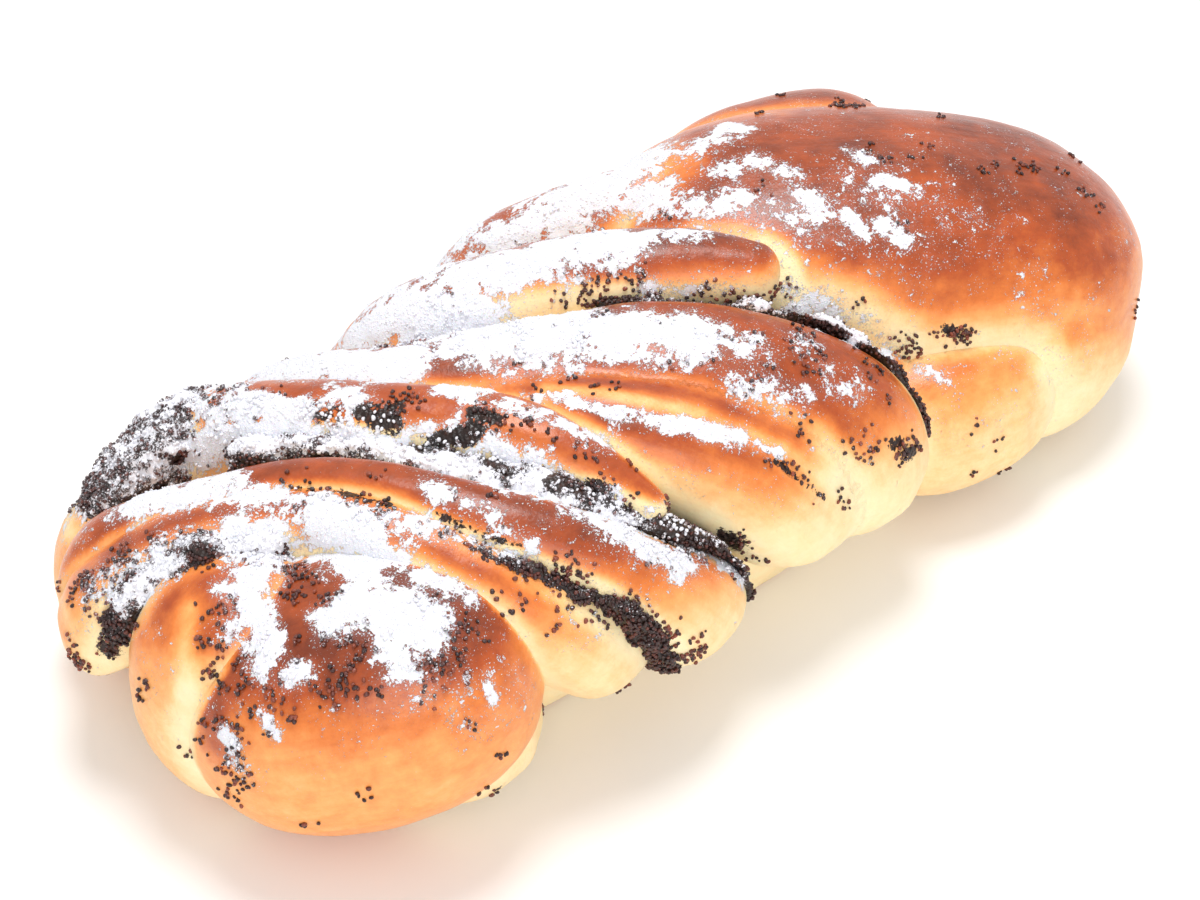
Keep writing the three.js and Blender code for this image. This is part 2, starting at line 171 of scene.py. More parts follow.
# A lobe is a plump ball of dough: its middle, its half sizes, and how far it is turned about Z
# (yaw) and tipped, its +X end down (dip), in degrees.
LOBES = {
    "near_knob": dict(at=(-88, -23, 28), size=(34, 26, 25), yaw=-41, dip=-17),
    "near_knob_fold": dict(at=(-74, -27, 15), size=(20, 19, 15), yaw=-41, dip=0),
    "near_end_fold": dict(at=(-101, -4, 26), size=(21, 19, 26), yaw=0, dip=0),
    "near_back_side": dict(at=(-95, 36, 20), size=(19, 17, 20), yaw=0, dip=0),
    "far_dome": dict(at=(69, 3, 34), size=(63, 39, 32), yaw=-30, dip=7),
    "far_end": dict(at=(96, 7, 25), size=(34, 40, 25), yaw=0, dip=0),
    "far_end_low": dict(at=(92, -28, 22), size=(28, 20, 21), yaw=14, dip=0),
    "far_fold": dict(at=(61, -30, 21), size=(26.5, 20, 18), yaw=-10, dip=0),
    "back_roll": dict(at=(70, 33, 36), size=(36, 20, 23), yaw=-12, dip=0),
    "core": dict(at=(-2, 0, 20), size=(110, 38, 28), yaw=0, dip=0, power=2.6),
}

# The pieces of dough: the shapes each is made of, how brown its low sides and its crest get, how
# many mm the pale edge along its seams is wide, and its slot.
DOUGH = {
    "near_knob": (("near_knob",), (0.42, 0.95), 1.2, "crust"),
    "first_twist": (("first_twist",), (0.14, 0.80), 4, "crust"),
    "second_twist": (("second_twist",), (0.14, 0.90), 2.5, "crust"),
    "third_twist": (("third_twist",), (0.14, 0.80), 2, "crust"),
    "fourth_twist": (("fourth_twist_brown", "fourth_twist_pale"), (0.07, 0.92), 3.6, "crust"),
    "fifth_twist": (("fifth_twist",), (0.06, 0.95), 5, "crust"),
    "far_dome": (("far_dome", "far_end", "far_end_low"), (0.10, 0.89), 8, "crust"),
    "back_roll": (("back_roll",), (0.12, 0.85), 3, "crust"),
    "back_shoulder": (("back_shoulder",), (0.10, 0.85), 5, "crust"),
    "far_fold": (("far_fold",), (0.18, 0.62), 6, "pale_dough"),
    "near_end_fold": (("near_end_fold",), (0.30, 0.74), 4.5, "pale_dough"),
    "near_back_side": (("near_back_side",), (0.30, 0.80), 3, "pale_dough"),
    "near_knob_fold": (("near_knob_fold",), (0.08, 0.50), 3, "pale_dough"),
    "core": (("core",), (0.05, 0.75), 1, "pale_dough"),
}
FILLINGS = ("filling_first", "filling_second", "filling_third", "filling_back", "filling_near")

# ---------------------------------------------------------------- the photograph's view
PHOTO_SIZE = (1200, 900)
SENSOR = 36.0  # mm
LENS = 74.25  # mm
AZIMUTH, ELEVATION = -41, 40  # degrees
DISTANCE = 500  # mm
LOOK_AT = (-17, -5.1, 32)  # mm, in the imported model's frame

# ---------------------------------------------------------------- where sugar and seeds lie
# Each patch runs between two places in the photograph, in its pixels, and lies on the dough seen
# there. The other values are its radius in mm and how much there is of it. The sugar comes first.
SUGAR_PATCHES = (
    # the round knob
    ((245, 588), (268, 640), 5.0, 1.0),
    ((325, 612), (360, 600), 4.2, 1.2),
    ((360, 600), (418, 622), 5.0, 1.2),
    ((385, 650), (402, 668), 2.8, 1.1),
    ((340, 560), (372, 580), 3.0, 1.1),
    ((292, 676), (298, 672), 2.4, 0.9),
    ((292, 560), (325, 585), 4.2, 0.5),
    ((400, 562), (470, 597), 2.4, 0.7),
    ((236, 765), (250, 785), 2.2, 1.6),
    ((225, 735), (232, 745), 1.6, 1.2),
    ((262, 715), (275, 735), 1.4, 0.9),
    ((255, 660), (262, 670), 2.0, 0.7),
    ((420, 700), (530, 690), 6.0, 0.24),
    ((488, 676), (494, 700), 1.6, 0.75),
    ((470, 730), (530, 715), 3.0, 0.42),
    ((330, 820), (420, 815), 5.0, 0.28),
    # between the knob and the first twist
    ((240, 536), (272, 542), 4.0, 1.25),
    ((285, 548), (330, 553), 2.6, 1.0),
    ((262, 560), (288, 580), 3.0, 0.8),
    ((100, 640), (112, 690), 3.0, 0.5),
    ((250, 542), (262, 566), 4.5, 1.0),
    ((325, 512), (368, 552), 6.0, 1.3),
    ((95, 590), (165, 555), 4.5, 0.55),
    ((165, 560), (240, 535), 5.0, 0.8),
    ((118, 602), (180, 558), 3.0, 0.9),
    ((232, 640), (225, 600), 2.0, 0.5),
    # the first twist
    ((140, 500), (215, 487), 4.5, 0.95),
    ((215, 480), (300, 497), 5.0, 0.9),
    ((110, 520), (150, 500), 2.0, 0.7),
    ((380, 512), (520, 548), 3.2, 0.62),
    ((430, 560), (480, 600), 2.4, 0.22),
    # second twist
    ((200, 450), (330, 425), 5.0, 1.0),
    ((330, 430), (480, 470), 3.6, 0.95),
    ((480, 470), (640, 530), 3.6, 0.9),
    ((560, 498), (680, 560), 4.0, 1.0),
    ((425, 485), (445, 495), 2.4, 0.6),
    ((470, 505), (495, 515), 2.0, 0.6),
    # the valley in front of the third twist
    ((240, 400), (350, 410), 6.0, 1.1),
    ((350, 425), (430, 440), 5.0, 1.0),
    ((450, 420), (540, 470), 5.0, 1.0),
    ((540, 460), (610, 500), 4.0, 0.85),
    ((640, 520), (730, 555), 4.5, 0.8),
    ((690, 545), (742, 572), 3.4, 0.95),
    # the third twist
    ((250, 365), (390, 362), 7.0, 1.25),
    ((390, 365), (480, 400), 4.0, 0.9),
    ((470, 390), (600, 440), 4.0, 0.85),
    # the fourth twist
    ((350, 340), (420, 310), 5.0, 1.1),
    ((430, 335), (560, 330), 8.5, 1.3),
    ((560, 330), (690, 340), 6.0, 1.15),
    ((700, 330), (760, 350), 4.0, 0.7),
    ((735, 385), (800, 400), 4.0, 0.6),
    ((800, 345), (850, 390), 5.0, 0.4),
    ((450, 388), (560, 402), 3.2, 1.0),
    ((560, 402), (740, 438), 1.9, 0.95),
    ((740, 438), (785, 455), 1.3, 0.7),
    # behind the fourth twist
    ((650, 292), (760, 303), 2.6, 0.7),
    ((790, 298), (865, 322), 3.4, 0.58),
    ((765, 303), (825, 322), 2.6, 1.3),
    ((825, 322), (885, 350), 2.4, 1.1),
    # the fifth twist and behind it
    ((470, 272), (610, 240), 6.0, 1.15),
    ((610, 238), (700, 232), 2.6, 0.9),
    ((500, 245), (640, 160), 7.0, 1.1),
    ((600, 200), (660, 190), 4.0, 0.9),
    # the far dome
    ((680, 215), (880, 200), 12.0, 0.34),
    ((655, 205), (720, 205), 4.0, 0.75),
    ((735, 185), (745, 200), 2.6, 0.8),
    ((770, 165), (800, 178), 2.2, 0.8),
    ((790, 185), (825, 215), 2.4, 0.75),
    ((690, 150), (720, 135), 4.5, 0.6),
    ((720, 170), (760, 160), 3.0, 0.7),
    ((850, 215), (858, 232), 2.4, 0.85),
    ((880, 222), (905, 245), 2.4, 0.8),
    ((850, 152), (865, 158), 2.2, 0.8),
    ((880, 180), (915, 190), 2.4, 0.7),
    ((725, 125), (745, 130), 2.2, 0.8),
    ((925, 370), (945, 378), 2.4, 0.6),
    ((900, 280), (960, 200), 9.0, 0.22),
    ((1000, 230), (1040, 300), 9.0, 0.16),
)

# Where the crust is browner (above 0) or paler (below 0) than its place on the loaf makes it.
BROWNING_PATCHES = (
    # the crease under the far dome
    ((700, 222), (760, 236), 2.4, -0.25),
    ((765, 240), (800, 275), 3.0, -0.40),
    ((800, 280), (865, 308), 4.6, -0.42),
    ((865, 308), (905, 332), 3.6, -0.30),
    # the dome's end
    ((1090, 280), (1130, 310), 9.0, 0.20),
    ((1040, 310), (1110, 325), 5.0, 0.14),
    ((950, 290), (1040, 300), 8.0, 0.10),
    # the cream edge between the fourth twist's two strands
    ((470, 370), (560, 372), 2.0, 0.08),
    ((560, 372), (700, 388), 2.2, 0.06),
    ((545, 389), (603, 393), 1.7, -0.50),
    ((603, 393), (703, 414), 1.9, -0.55),
    ((703, 414), (784, 448), 2.0, -0.40),
    ((784, 448), (835, 488), 2.0, -0.30),
    ((790, 392), (870, 402), 6.0, 0.14),
    ((810, 425), (858, 434), 4.4, 0.24),
    # the near end
    ((60, 590), (75, 560), 4.0, 0.32),
    ((60, 600), (64, 640), 3.0, 0.26),
    ((120, 625), (160, 610), 7.0, 0.12),
    ((72, 562), (122, 536), 2.6, 0.32),
    ((188, 610), (186, 690), 2.6, -0.35),
    # the round knob
    ((203, 640), (205, 700), 2.6, 0.25),
    ((205, 690), (216, 745), 3.6, 0.28),
    ((222, 652), (246, 630), 2.4, 0.35),
    ((330, 650), (470, 640), 6.0, 0.10),
)

# Where no sugar lies, in the same way.
BARE_PATCHES = (
    ((262, 386), (316, 392), 2.0, 0.9),
    ((398, 392), (440, 384), 2.6, 1.0),
    ((405, 412), (446, 408), 2.0, 0.9),
    ((470, 412), (560, 440), 2.4, 0.55),
    ((505, 392), (600, 425), 1.3, 0.8),
    ((560, 455), (640, 500), 2.6, 0.6),
    ((245, 466), (300, 470), 2.2, 0.8),
    ((262, 472), (400, 490), 2.0, 0.9),
    ((300, 578), (318, 602), 2.6, 0.7),
    ((290, 575), (296, 640), 2.2, 0.6),
    ((180, 600), (200, 560), 3.0, 0.6),
    ((480, 400), (560, 385), 1.6, 0.6),
    ((610, 385), (700, 395), 3.0, 0.9),
)

# Where the filling shows through the dough.
FILLING_SPOTS = (
    ((312, 408), (338, 414), 2.2, 1.0),
    ((362, 412), (390, 424), 2.4, 1.0),
    ((390, 412), (400, 404), 1.4, 1.0),
    ((425, 448), (475, 432), 2.2, 1.0),
    ((490, 460), (504, 470), 1.6, 0.9),
    ((474, 412), (500, 420), 1.6, 0.8),
    ((555, 480), (610, 496), 2.2, 0.85),
    ((660, 530), (735, 545), 2.6, 0.9),
    ((336, 492), (390, 505), 1.0, 0.75),
    ((440, 516), (520, 548), 0.8, 0.7),
    ((296, 488), (310, 492), 1.1, 0.8),
    ((896, 445), (912, 450), 2.2, 0.9),
    ((110, 650), (118, 680), 2.6, 0.9),
    ((775, 462), (825, 498), 0.7, 0.8),
    ((480, 800), (500, 788), 1.2, 1.0),
    ((943, 327), (962, 336), 1.2, 0.8),
    ((977, 170), (985, 172), 0.9, 0.75),
    ((1018, 164), (1030, 167), 0.9, 0.7),
)

# Where seeds lie on the dough.
SEED_PATCHES = (
    # the round knob
    ((206, 690), (232, 605), 1.3, 1.3),
    ((206, 750), (210, 690), 1.0, 1.0),
    ((205, 690), (225, 610), 2.6, 0.5),
    ((215, 700), (290, 690), 5.5, 0.62),
    ((215, 670), (300, 660), 4.5, 0.5),
    ((240, 740), (290, 705), 3.6, 0.6),
    ((330, 650), (380, 640), 3.0, 0.9),
    ((430, 670), (470, 645), 3.6, 1.0),
    ((278, 565), (325, 600), 3.6, 0.55),
    ((340, 690), (370, 685), 3.0, 0.8),
    ((350, 745), (385, 770), 5.0, 0.05),
    ((325, 806), (372, 792), 4.0, 0.06),
    ((235, 795), (240, 770), 2.6, 1.0),
    ((420, 600), (450, 620), 2.5, 0.3),
    ((185, 750), (190, 760), 1.6, 1.0),
    # near filling and the fold before it
    ((85, 590), (165, 545), 3.6, 1.0),
    ((75, 655), (110, 675), 4.0, 0.9),
    ((110, 600), (140, 620), 4.0, 0.5),
    ((135, 660), (140, 690), 2.5, 0.6),
    ((105, 705), (130, 720), 2.2, 0.9),
    ((185, 575), (215, 560), 2.4, 0.8),
    # the first twist and the dark band
    ((300, 492), (330, 500), 2.0, 1.0),
    ((330, 500), (500, 545), 1.6, 0.6),
    ((540, 565), (690, 655), 3.6, 0.9),
    ((480, 590), (560, 640), 3.0, 0.15),
    # second twist
    ((560, 570), (640, 620), 5.0, 0.16),
    ((300, 470), (480, 490), 3.0, 0.14),
    ((700, 560), (765, 560), 2.0, 0.5),
    # the valley
    ((310, 412), (345, 425), 2.6, 1.0),
    ((385, 400), (420, 395), 2.0, 1.0),
    ((430, 445), (480, 430), 2.6, 0.9),
    ((490, 460), (500, 470), 2.0, 0.8),
    ((550, 480), (620, 500), 3.0, 0.8),
    ((640, 540), (720, 555), 4.0, 0.8),
    ((470, 400), (560, 440), 2.4, 0.5),
    ((560, 440), (600, 460), 2.2, 0.6),
    # the back filling
    ((90, 480), (240, 400), 6.0, 1.0),
    # the fourth twist
    ((430, 335), (690, 340), 7.0, 0.3),
    ((560, 380), (620, 385), 2.2, 0.5),
    ((740, 380), (760, 370), 2.6, 0.6),
    ((770, 340), (880, 380), 6.0, 0.14),
    ((810, 425), (870, 445), 2.6, 0.4),
    ((893, 445), (912, 452), 2.0, 0.9),
    ((765, 452), (835, 500), 1.0, 0.9),
    ((660, 500), (700, 520), 1.4, 0.8),
    # behind the fourth twist
    ((560, 285), (650, 285), 1.6, 1.0),
    ((650, 290), (790, 300), 2.0, 0.9),
    ((560, 272), (740, 270), 2.0, 0.16),
    ((780, 290), (792, 300), 1.6, 1.0),
    ((900, 340), (915, 360), 2.2, 0.9),
    # the far dome
    ((975, 168), (990, 172), 2.0, 1.0),
    ((995, 162), (1030, 168), 1.6, 0.6),
    ((1050, 176), (1085, 190), 1.4, 0.5),
    ((870, 150), (884, 156), 1.8, 0.8),
    ((905, 156), (930, 162), 1.6, 0.7),
    ((942, 330), (972, 336), 1.6, 1.3),
    ((890, 335), (896, 345), 1.4, 0.9),
    ((860, 298), (868, 300), 1.4, 1.0),
    ((1038, 350), (1046, 352), 1.4, 1.0),
    ((840, 100), (850, 108), 2.0, 0.7),
)

# ---------------------------------------------------------------- how it is baked and strewn
# Lengths are in mm. Unevenness is given in layers: its height or share, the size of its lumps and
# its random start. A pair that ends in _X, _Z and so on is where something starts and is full.
RANDOM_START = 11
PREFIX = "baked_"  # before a node's name, for the piece that stands for it
FAR = 14.0  # beyond which a neighbour has no effect
PATCH_STEP = 25  # pixels from one place looked for on a patch to the next
PATCH_REACH = 2.2  # a patch has an effect out to so many times its radius
PATCH_FALL = 0.75  # how steeply a patch falls off from its middle
PLATEAU = 1.25  # the top of that fall before it is cut off at 1, where a patch is even

# the dough's skin
DOUGH_RINGS = (2.0, 56)  # from ring to ring, and points in a ring, before the skin is fused
SOFTEN_FACTOR = 0.5
SMOOTH_ROUNDS = 5
BLEND_ROUNDS = {"far_dome": 40, "fourth_twist": 10}  # for pieces of more than one shape
COARSER = {"core": 2}  # how much larger the faces are on a piece that hardly shows
CRUST_LUMPS = ((0.75, 27, 1), (0.25, 9, 2), (0.06, 3.5, 8))
GRAIN_SIZE = np.array((22, 2.6, 2.6))  # the sides' fine lumps are drawn out along the strand
GRAIN_LUMPS = ((0.09, 1.0, 5),)
GRAIN_UP = (0.95, 0.3)  # how far up a face looks that has none of them, and one with all
CREASE_SIZE = np.array((5, 5, 45))  # and those of the pale folds stand upright
CREASE_LUMPS = ((0.5, 1.0, 7),)
CREASE_UP = (0.8, 0.3)

# the browning, from 0 for raw cream to 1 for chestnut
BAKE_POWER = 2.1  # how much faster faces that look up brown than faces that look aside
TABLE_HEAT = 0.3  # the heat at the table, as a share of that at the crown
HOT_HEIGHT = 52  # the height from which the heat is full
LEAST_HEAT = 0.04  # the heat under which nothing browns
END_X, END_Z = (85, 112), (10, 28)  # the far end, which is browner
END_HEAT = 0.34
SHELTERS = ((2.0, 0.45), (6.0, 0.35))  # how far off neighbours are looked for, and their effect
SEAM_LUMPS = ((0.35, 7, 6),)
SEAM_PALENESS = 0.92
CROWN_SEAM = 0.6  # how much of that paleness is lost where a seam's edge looks up
CROWN_UP = (0.5, 0.9)
CREASE_BROWN = 0.06  # the share of the browning that is left deep in a crease
BROWN_LUMPS = ((0.10, 16, 3), (0.06, 5, 4))
UNDERSIDE_Z = (0.6, 0.1)  # the underside, which browns on the tray
UNDERSIDE_BROWN = 0.55
MOST_BROWN = 1.1

# the filling in the seams
FILLING_RINGS = (1.5, 32)
FILLING_DETAIL = 0.7
FILLING_ROUNDS = 3
FILLING_LUMPS = ((1.9, 7, 31), (0.9, 2.4, 32))
FILLING_SUNK = 1.0
STAIN_LUMPS = ((0.6, 3, 41), (0.4, 1.4, 42))  # of the thin stains of filling on the dough

# the powdered sugar
LEAST_SUGAR = 0.08
SUGAR_BEHIND = 0.55  # and so much more on the back, which the photograph doesn't show
BEHIND_Y, BEHIND_X, BEHIND_END_X = (14, 40), (50, 0), (-118, -90)
SUGAR_UP = (-0.1, 0.45)  # how far up a face looks that holds none, and one that holds all
SUGAR_LUMPS = ((0.26, 7, 21), (0.40, 2.6, 22))
SMOOTH_SUGAR = 0.2  # the raggedness where there is no sugar yet
BARE_SHARE = 1.1
BARE_LUMPS = ((0.7, 3, 24),)
MOST_SUGAR = 1.5
SUGAR_DEPTH = 0.45
DEEP_SUGAR = (0.5, 1.0)  # the amounts at which sugar starts to thicken, and is at its full depth
DEPTH_SHARE = 0.8
DEPTH_LUMPS = ((0.5, 1.7, 23),)
CLUMP_SUGAR = (0.6, 1.1)  # the amounts at which coarse grains start, and are closest
CLUMPS_APART = 0.45
CLUMP_SIZES = (0.2, 0.5)  # the smallest, and how much larger the largest is
CLUMP_SHAPE = np.array((1, 1, 0.7))
CLUMP_ROUGHNESS = 0.16

# the seeds
SEEDS_APART = 1.0
PACKED_APART = 0.8
GROUP_SIZE = 5  # seeds on the dough lie in loose groups of so many
GROUP_REACH = 1.0
STRAY_SEEDS = 0.008  # outside the patches, as a share of those in a full patch
STRAY_Z = (3, 20)
PATCH_POWER = 1.2  # how much sparser seeds get towards a patch's edge
SUGARED_SEEDS = (0.5, 0.9)  # the amounts of sugar that start to hide seeds, and hide most of them
HIDDEN_SEEDS = 0.8
SEED_SIZES = (0.7, 0.5)  # the smallest share of the seeds' length, and how much is added to it
SEED_LIFT = (0.05, 0.3)  # how far a seed stands off the dough: the least, and what is added to it
SEED_RINGS, SEED_SIDES = 3, 6
SEED_WIDE, SEED_HIGH, SEED_BEND = 0.40, 0.36, 0.12  # half its width and height, and its curve
PACKED_TONE = 0.7  # how light the lightest seeds on the filling are
SUGAR_ON_SEEDS = 0.75  # as a share of that on the dough
TILT = 0.5  # of seeds and coarse grains, against the face they lie on
JITTER = 0.35  # of their places
CLEAR = 0.3  # how far off its face a grain or a seed has to be free of other dough


# ---------------------------------------------------------------- small numeric helpers
def smoothstep(low, high, value):
    share = np.clip((value - low) / (high - low), 0, 1)
    return share * share * (3 - 2 * share)


def signed_power(value, power):
    return np.sign(value) * np.abs(value) ** power


def unit(vectors):
    return vectors / np.maximum(np.linalg.norm(vectors, axis=-1, keepdims=True), 1e-9)


def along(values, t):
    """A smooth value from a list that is spread evenly over t = 0..1 (Catmull-Rom)."""
    values = np.asarray(values, float)
    if values.ndim > 1:
        return np.stack([along(column, t) for column in values.T], axis=-1)
    padded = np.concatenate([[2 * values[0] - values[1]], values, [2 * values[-1] - values[-2]]])
    place = np.clip(t, 0, 1) * (len(values) - 1)
    i = np.minimum(place.astype(int), len(values) - 2)
    u = place - i
    a, b, c, d = (padded[i + k] for k in range(4))
    cubic = -a + 3 * b - 3 * c + d
    square = 2 * a - 5 * b + 4 * c - d
    return 0.5 * (2 * b + (c - a) * u + square * u * u + cubic * u * u * u)


def lumps(points, size, start):
    """Smooth repeatable noise from -1 to 1, with lumps of the given size."""
    place = points / size + start * 17.31
    cell = np.floor(place).astype(np.int64)
    u = place - cell
    u = u * u * (3 - 2 * u)
    total = np.zeros(len(points))
    for corner in range(8):
        step = np.array([(corner >> k) & 1 for k in range(3)])
        key = (cell + step).astype(np.uint64)  # hashed below to a number up to 0xFFFF
        mix = key[:, 0] * np.uint64(73856093) ^ key[:, 1] * np.uint64(19349663)
        mix = mix ^ key[:, 2] * np.uint64(83492791) ^ np.uint64(start * 977 + 13)
        mix = (mix ^ (mix >> np.uint64(13))) * np.uint64(1274126177)
        mix = (mix ^ (mix >> np.uint64(16))) & np.uint64(0xFFFF)
        share = np.prod(np.where(step, u, 1 - u), axis=1)
        total += share * (mix.astype(float) / 0xFFFF * 2 - 1)
    return total


def layered(points, layers):
    """Noise in layers, each given by its height, the size of its lumps and its random start."""
    return sum(height * lumps(points, size, start) for height, size, start in layers)


def within(points, low, high):
    """The indices of the points inside a box."""
    return np.flatnonzero(np.all((points > low) & (points < high), axis=1))


# ---------------------------------------------------------------- strands and lobes as shapes
def outline(x, turn):
    """The distance from the loaf's axis to its outline."""
    outwards = np.minimum(np.abs(2 * x / LENGTH), NEAREST_TO_END)
    taper = (1 - outwards**PLAN_POWER) ** (1 / PLAN_POWER)
    crown = HEIGHT - NEAR_SINK * smoothstep(SINK_START, SINK_START + SINK_LENGTH, -x)
    across = np.abs(np.sin(turn)) / (WIDTH / 2 * taper)
    up = np.cos(turn)
    power = np.where(up > 0, CROWN_POWER, UNDER_POWER)
    reach = np.where(up > 0, crown - WAIST, UNDERSIDE) * taper
    return (across**power + (np.abs(up) / reach) ** power) ** (-1 / power)


def crest_line(roll, t):
    if "crest" in roll:
        return along(roll["crest"], t)
    turn = np.radians(along(roll["turn"], t))
    x = along(roll["x"], t)
    reach = outline(x, turn) + along(roll["rise"], t)
    return np.stack([x, -np.sin(turn) * reach, WAIST + np.cos(turn) * reach], axis=-1)


def stand_off(share, reach):
    """How far a point is off a shape whose surface is at share 1, when its middle is at reach."""
    return reach * (1 - 1 / np.maximum(share, 1e-3))


class Roll:
    """A strand: its sections, traced in small steps."""

    STEPS = 120
    LONGEST_CAP = 0.45  # of the strand's length
    CAP_ANGLES = np.radians(np.arange(10, 90, 10))
    BLOCK = 20000  # points compared at a time, to save memory

    def __init__(self, roll):
        t = np.linspace(0, 1, self.STEPS + 1)
        crest = crest_line(roll, t)
        before = np.concatenate([crest[:1], crest[:-1]])
        after = np.concatenate([crest[1:], crest[-1:]])
        self.forward = unit(after - before)
        spine = np.tile((0.0, 0.0, SPINE_HEIGHT), (len(t), 1))
        spine[:, 0] = np.clip(crest[:, 0], -SPINE_END, SPINE_END)
        outward = crest - spine
        outward -= self.forward * np.sum(outward * self.forward, axis=1, keepdims=True)
        self.outward = unit(outward)
        self.sideways = np.cross(self.outward, self.forward)
        self.half = along(roll["half"], t)
        self.deep = along(roll["deep"], t)
        self.centre = crest - self.outward * self.deep[:, None]
        gaps = np.linalg.norm(np.diff(self.centre, axis=0), axis=1)
        self.length = np.concatenate([[0], np.cumsum(gaps)])
        longest = self.LONGEST_CAP * self.length[-1]
        self.caps = [min(half, longest) for half in self.half[[0, -1]]]
        reach = max(self.half.max(), self.deep.max())
        self.box = self.centre.min(0) - reach, self.centre.max(0) + reach

    def at(self, length):
        """The sections' middles, outward and sideways axes, half widths and half depths."""
        def pick(values):
            return np.stack([np.interp(length, self.length, v) for v in values.T], axis=-1)

        axes = unit(pick(self.outward)), unit(pick(self.sideways))
        sizes = [np.interp(length, self.length, v) for v in (self.half, self.deep)]
        return pick(self.centre), *axes, *sizes

    def surface(self, step, sides):
        """Rings of points along the roll, and a point at each end."""
        total = self.length[-1]
        first, last = self.caps
        rise, fall = np.sin(self.CAP_ANGLES), 1 - np.cos(self.CAP_ANGLES)
        count = max(2, int((total - first - last) / step) + 1)
        straight = np.linspace(first, total - last, count)
        length = np.concatenate([first * fall, straight, total - last * fall[::-1]])
        opened = np.concatenate([rise, np.ones(count), rise[::-1]])
        centre, outward, sideways, half, deep = self.at(length)
        angle = np.arange(sides) / sides * 2 * np.pi
        power = 2 / SECTION_POWER
        across = signed_power(np.cos(angle), power)[None, :] * (half * opened)[:, None]
        out = signed_power(np.sin(angle), power)[None, :] * (deep * opened)[:, None]
        rings = centre[:, None] + sideways[:, None] * across[..., None]
        return self.centre[0], rings + outward[:, None] * out[..., None], self.centre[-1]

    def local(self, points):
        """Each point's place across, out of and along its section, and which section that is."""
        first, last = self.caps
        inner = (self.length >= first) & (self.length <= self.length[-1] - last)
        centre = self.centre[inner]
        nearest = np.empty(len(points), int)
        for i in range(0, len(points), self.BLOCK):
            block = points[i : i + self.BLOCK]
            apart = (centre**2).sum(1)[None] - 2 * block @ centre.T
            nearest[i : i + self.BLOCK] = apart.argmin(1)
        section = np.flatnonzero(inner)[nearest]
        off = points - self.centre[section]
        axes = self.sideways, self.outward, self.forward
        return *((off * axis[section]).sum(1) for axis in axes), section

    def measure(self, points):
        """How far points stand off the strand, less than 0 inside it."""
        across, out, onward, section = self.local(points)
        half, deep = self.half[section], self.deep[section]
        n = SECTION_POWER
        share = np.abs(across / half) ** n + np.abs(out / deep) ** n + np.abs(onward / half) ** n
        return stand_off(share ** (1 / n), np.sqrt(across**2 + out**2 + onward**2))

    def grain(self, points):
        """Each point's place along the strand and round it."""
        across, out, onward, section = self.local(points)
        side = np.arctan2(across, out) * self.half[section]
        return np.stack([self.length[section] + onward, side, np.zeros(len(points))], axis=-1)


class Lobe:
    """A plump ball of dough."""

    def __init__(self, lobe):
        self.at = np.array(lobe["at"], float)
        self.size = np.array(lobe["size"], float)
        self.power = lobe.get("power", SECTION_POWER)
        turn = Matrix.Rotation(math.radians(lobe["yaw"]), 3, "Z")
        turn = turn @ Matrix.Rotation(math.radians(lobe["dip"]), 3, "Y")
        self.turn = np.array(turn)
        self.box = self.at - self.size.max(), self.at + self.size.max()

    def surface(self, step, sides):
        bands = int(math.pi * self.size.max() / step)
        height = (np.arange(1, bands) / bands - 0.5) * np.pi
        angle = np.arange(sides) / sides * 2 * np.pi
        power = 2 / self.power
        wide = signed_power(np.cos(height), power)[:, None]
        x = wide * signed_power(np.cos(angle), power)[None]
        y = wide * signed_power(np.sin(angle), power)[None]
        z = signed_power(np.sin(height), power)[:, None] * np.ones(sides)[None]
        rings = np.stack([x, y, z], axis=-1) * self.size
        foot = np.array((0, 0, -self.size[2]))
        return tuple(p @ self.turn.T + self.at for p in (foot, rings, -foot))

    def grain(self, points):
        """Each point's place along, across and up the lobe."""
        return (points - self.at) @ self.turn

    def measure(self, points):
        """How far points stand off the lobe, less than 0 inside it."""
        local = self.grain(points)
        share = (np.abs(local / self.size) ** self.power).sum(1) ** (1 / self.power)
        return stand_off(share, np.linalg.norm(local, axis=1))


SHAPES = {name: Roll(roll) for name, roll in ROLLS.items()}
SHAPES.update({name: Lobe(lobe) for name, lobe in LOBES.items()})


def closed_surface(first, rings, last):
    """Points and faces of a closed skin over rings of points."""
    count, sides = rings.shape[:2]
    points = np.concatenate([first[None], rings.reshape(-1, 3), last[None]])
    ring = np.arange(count - 1)[:, None] * sides + 1
    side = np.arange(sides)[None]
    after = (side + 1) % sides
    corners = [ring + side, ring + after, ring + sides + after, ring + sides + side]
    walls = np.stack(corners, axis=-1)
    end = len(points) - 1
    base = 1 + (count - 1) * sides
    faces = [tuple(face) for face in walls.reshape(-1, 4)]
    faces += [(0, 1 + (k + 1) % sides, 1 + k) for k in range(sides)]
    faces += [(end, base + k, base + (k + 1) % sides) for k in range(sides)]
    return points, faces


# ---------------------------------------------------------------- meshes
def new_piece(name, points, faces):
    """A new object at the origin from points in millimetres in the strands' frame."""
    mesh = bpy.data.meshes.new(name)
    places = (np.asarray(points) - MIDDLE) * MM
    mesh.from_pydata(places.tolist(), [], [tuple(map(int, face)) for face in faces])
    piece = bpy.data.objects.new(name, mesh)
    bpy.context.scene.collection.objects.link(piece)
    return piece


def read(elements, key, width=1):
    """One property of all the points or faces of a mesh."""
    values = np.empty(len(elements) * width)
    elements.foreach_get(key, values)
    return values.reshape(-1, width) if width > 1 else values


def points_of(mesh):
    return read(mesh.vertices, "co", 3) / MM + MIDDLE


def normals_of(mesh):
    return read(mesh.vertices, "normal", 3)


def faces_of(mesh):
    """Middle, normal and area of each face, in mm."""
    middle = read(mesh.polygons, "center", 3) / MM + MIDDLE
    return middle, read(mesh.polygons, "normal", 3), read(mesh.polygons, "area") / MM**2


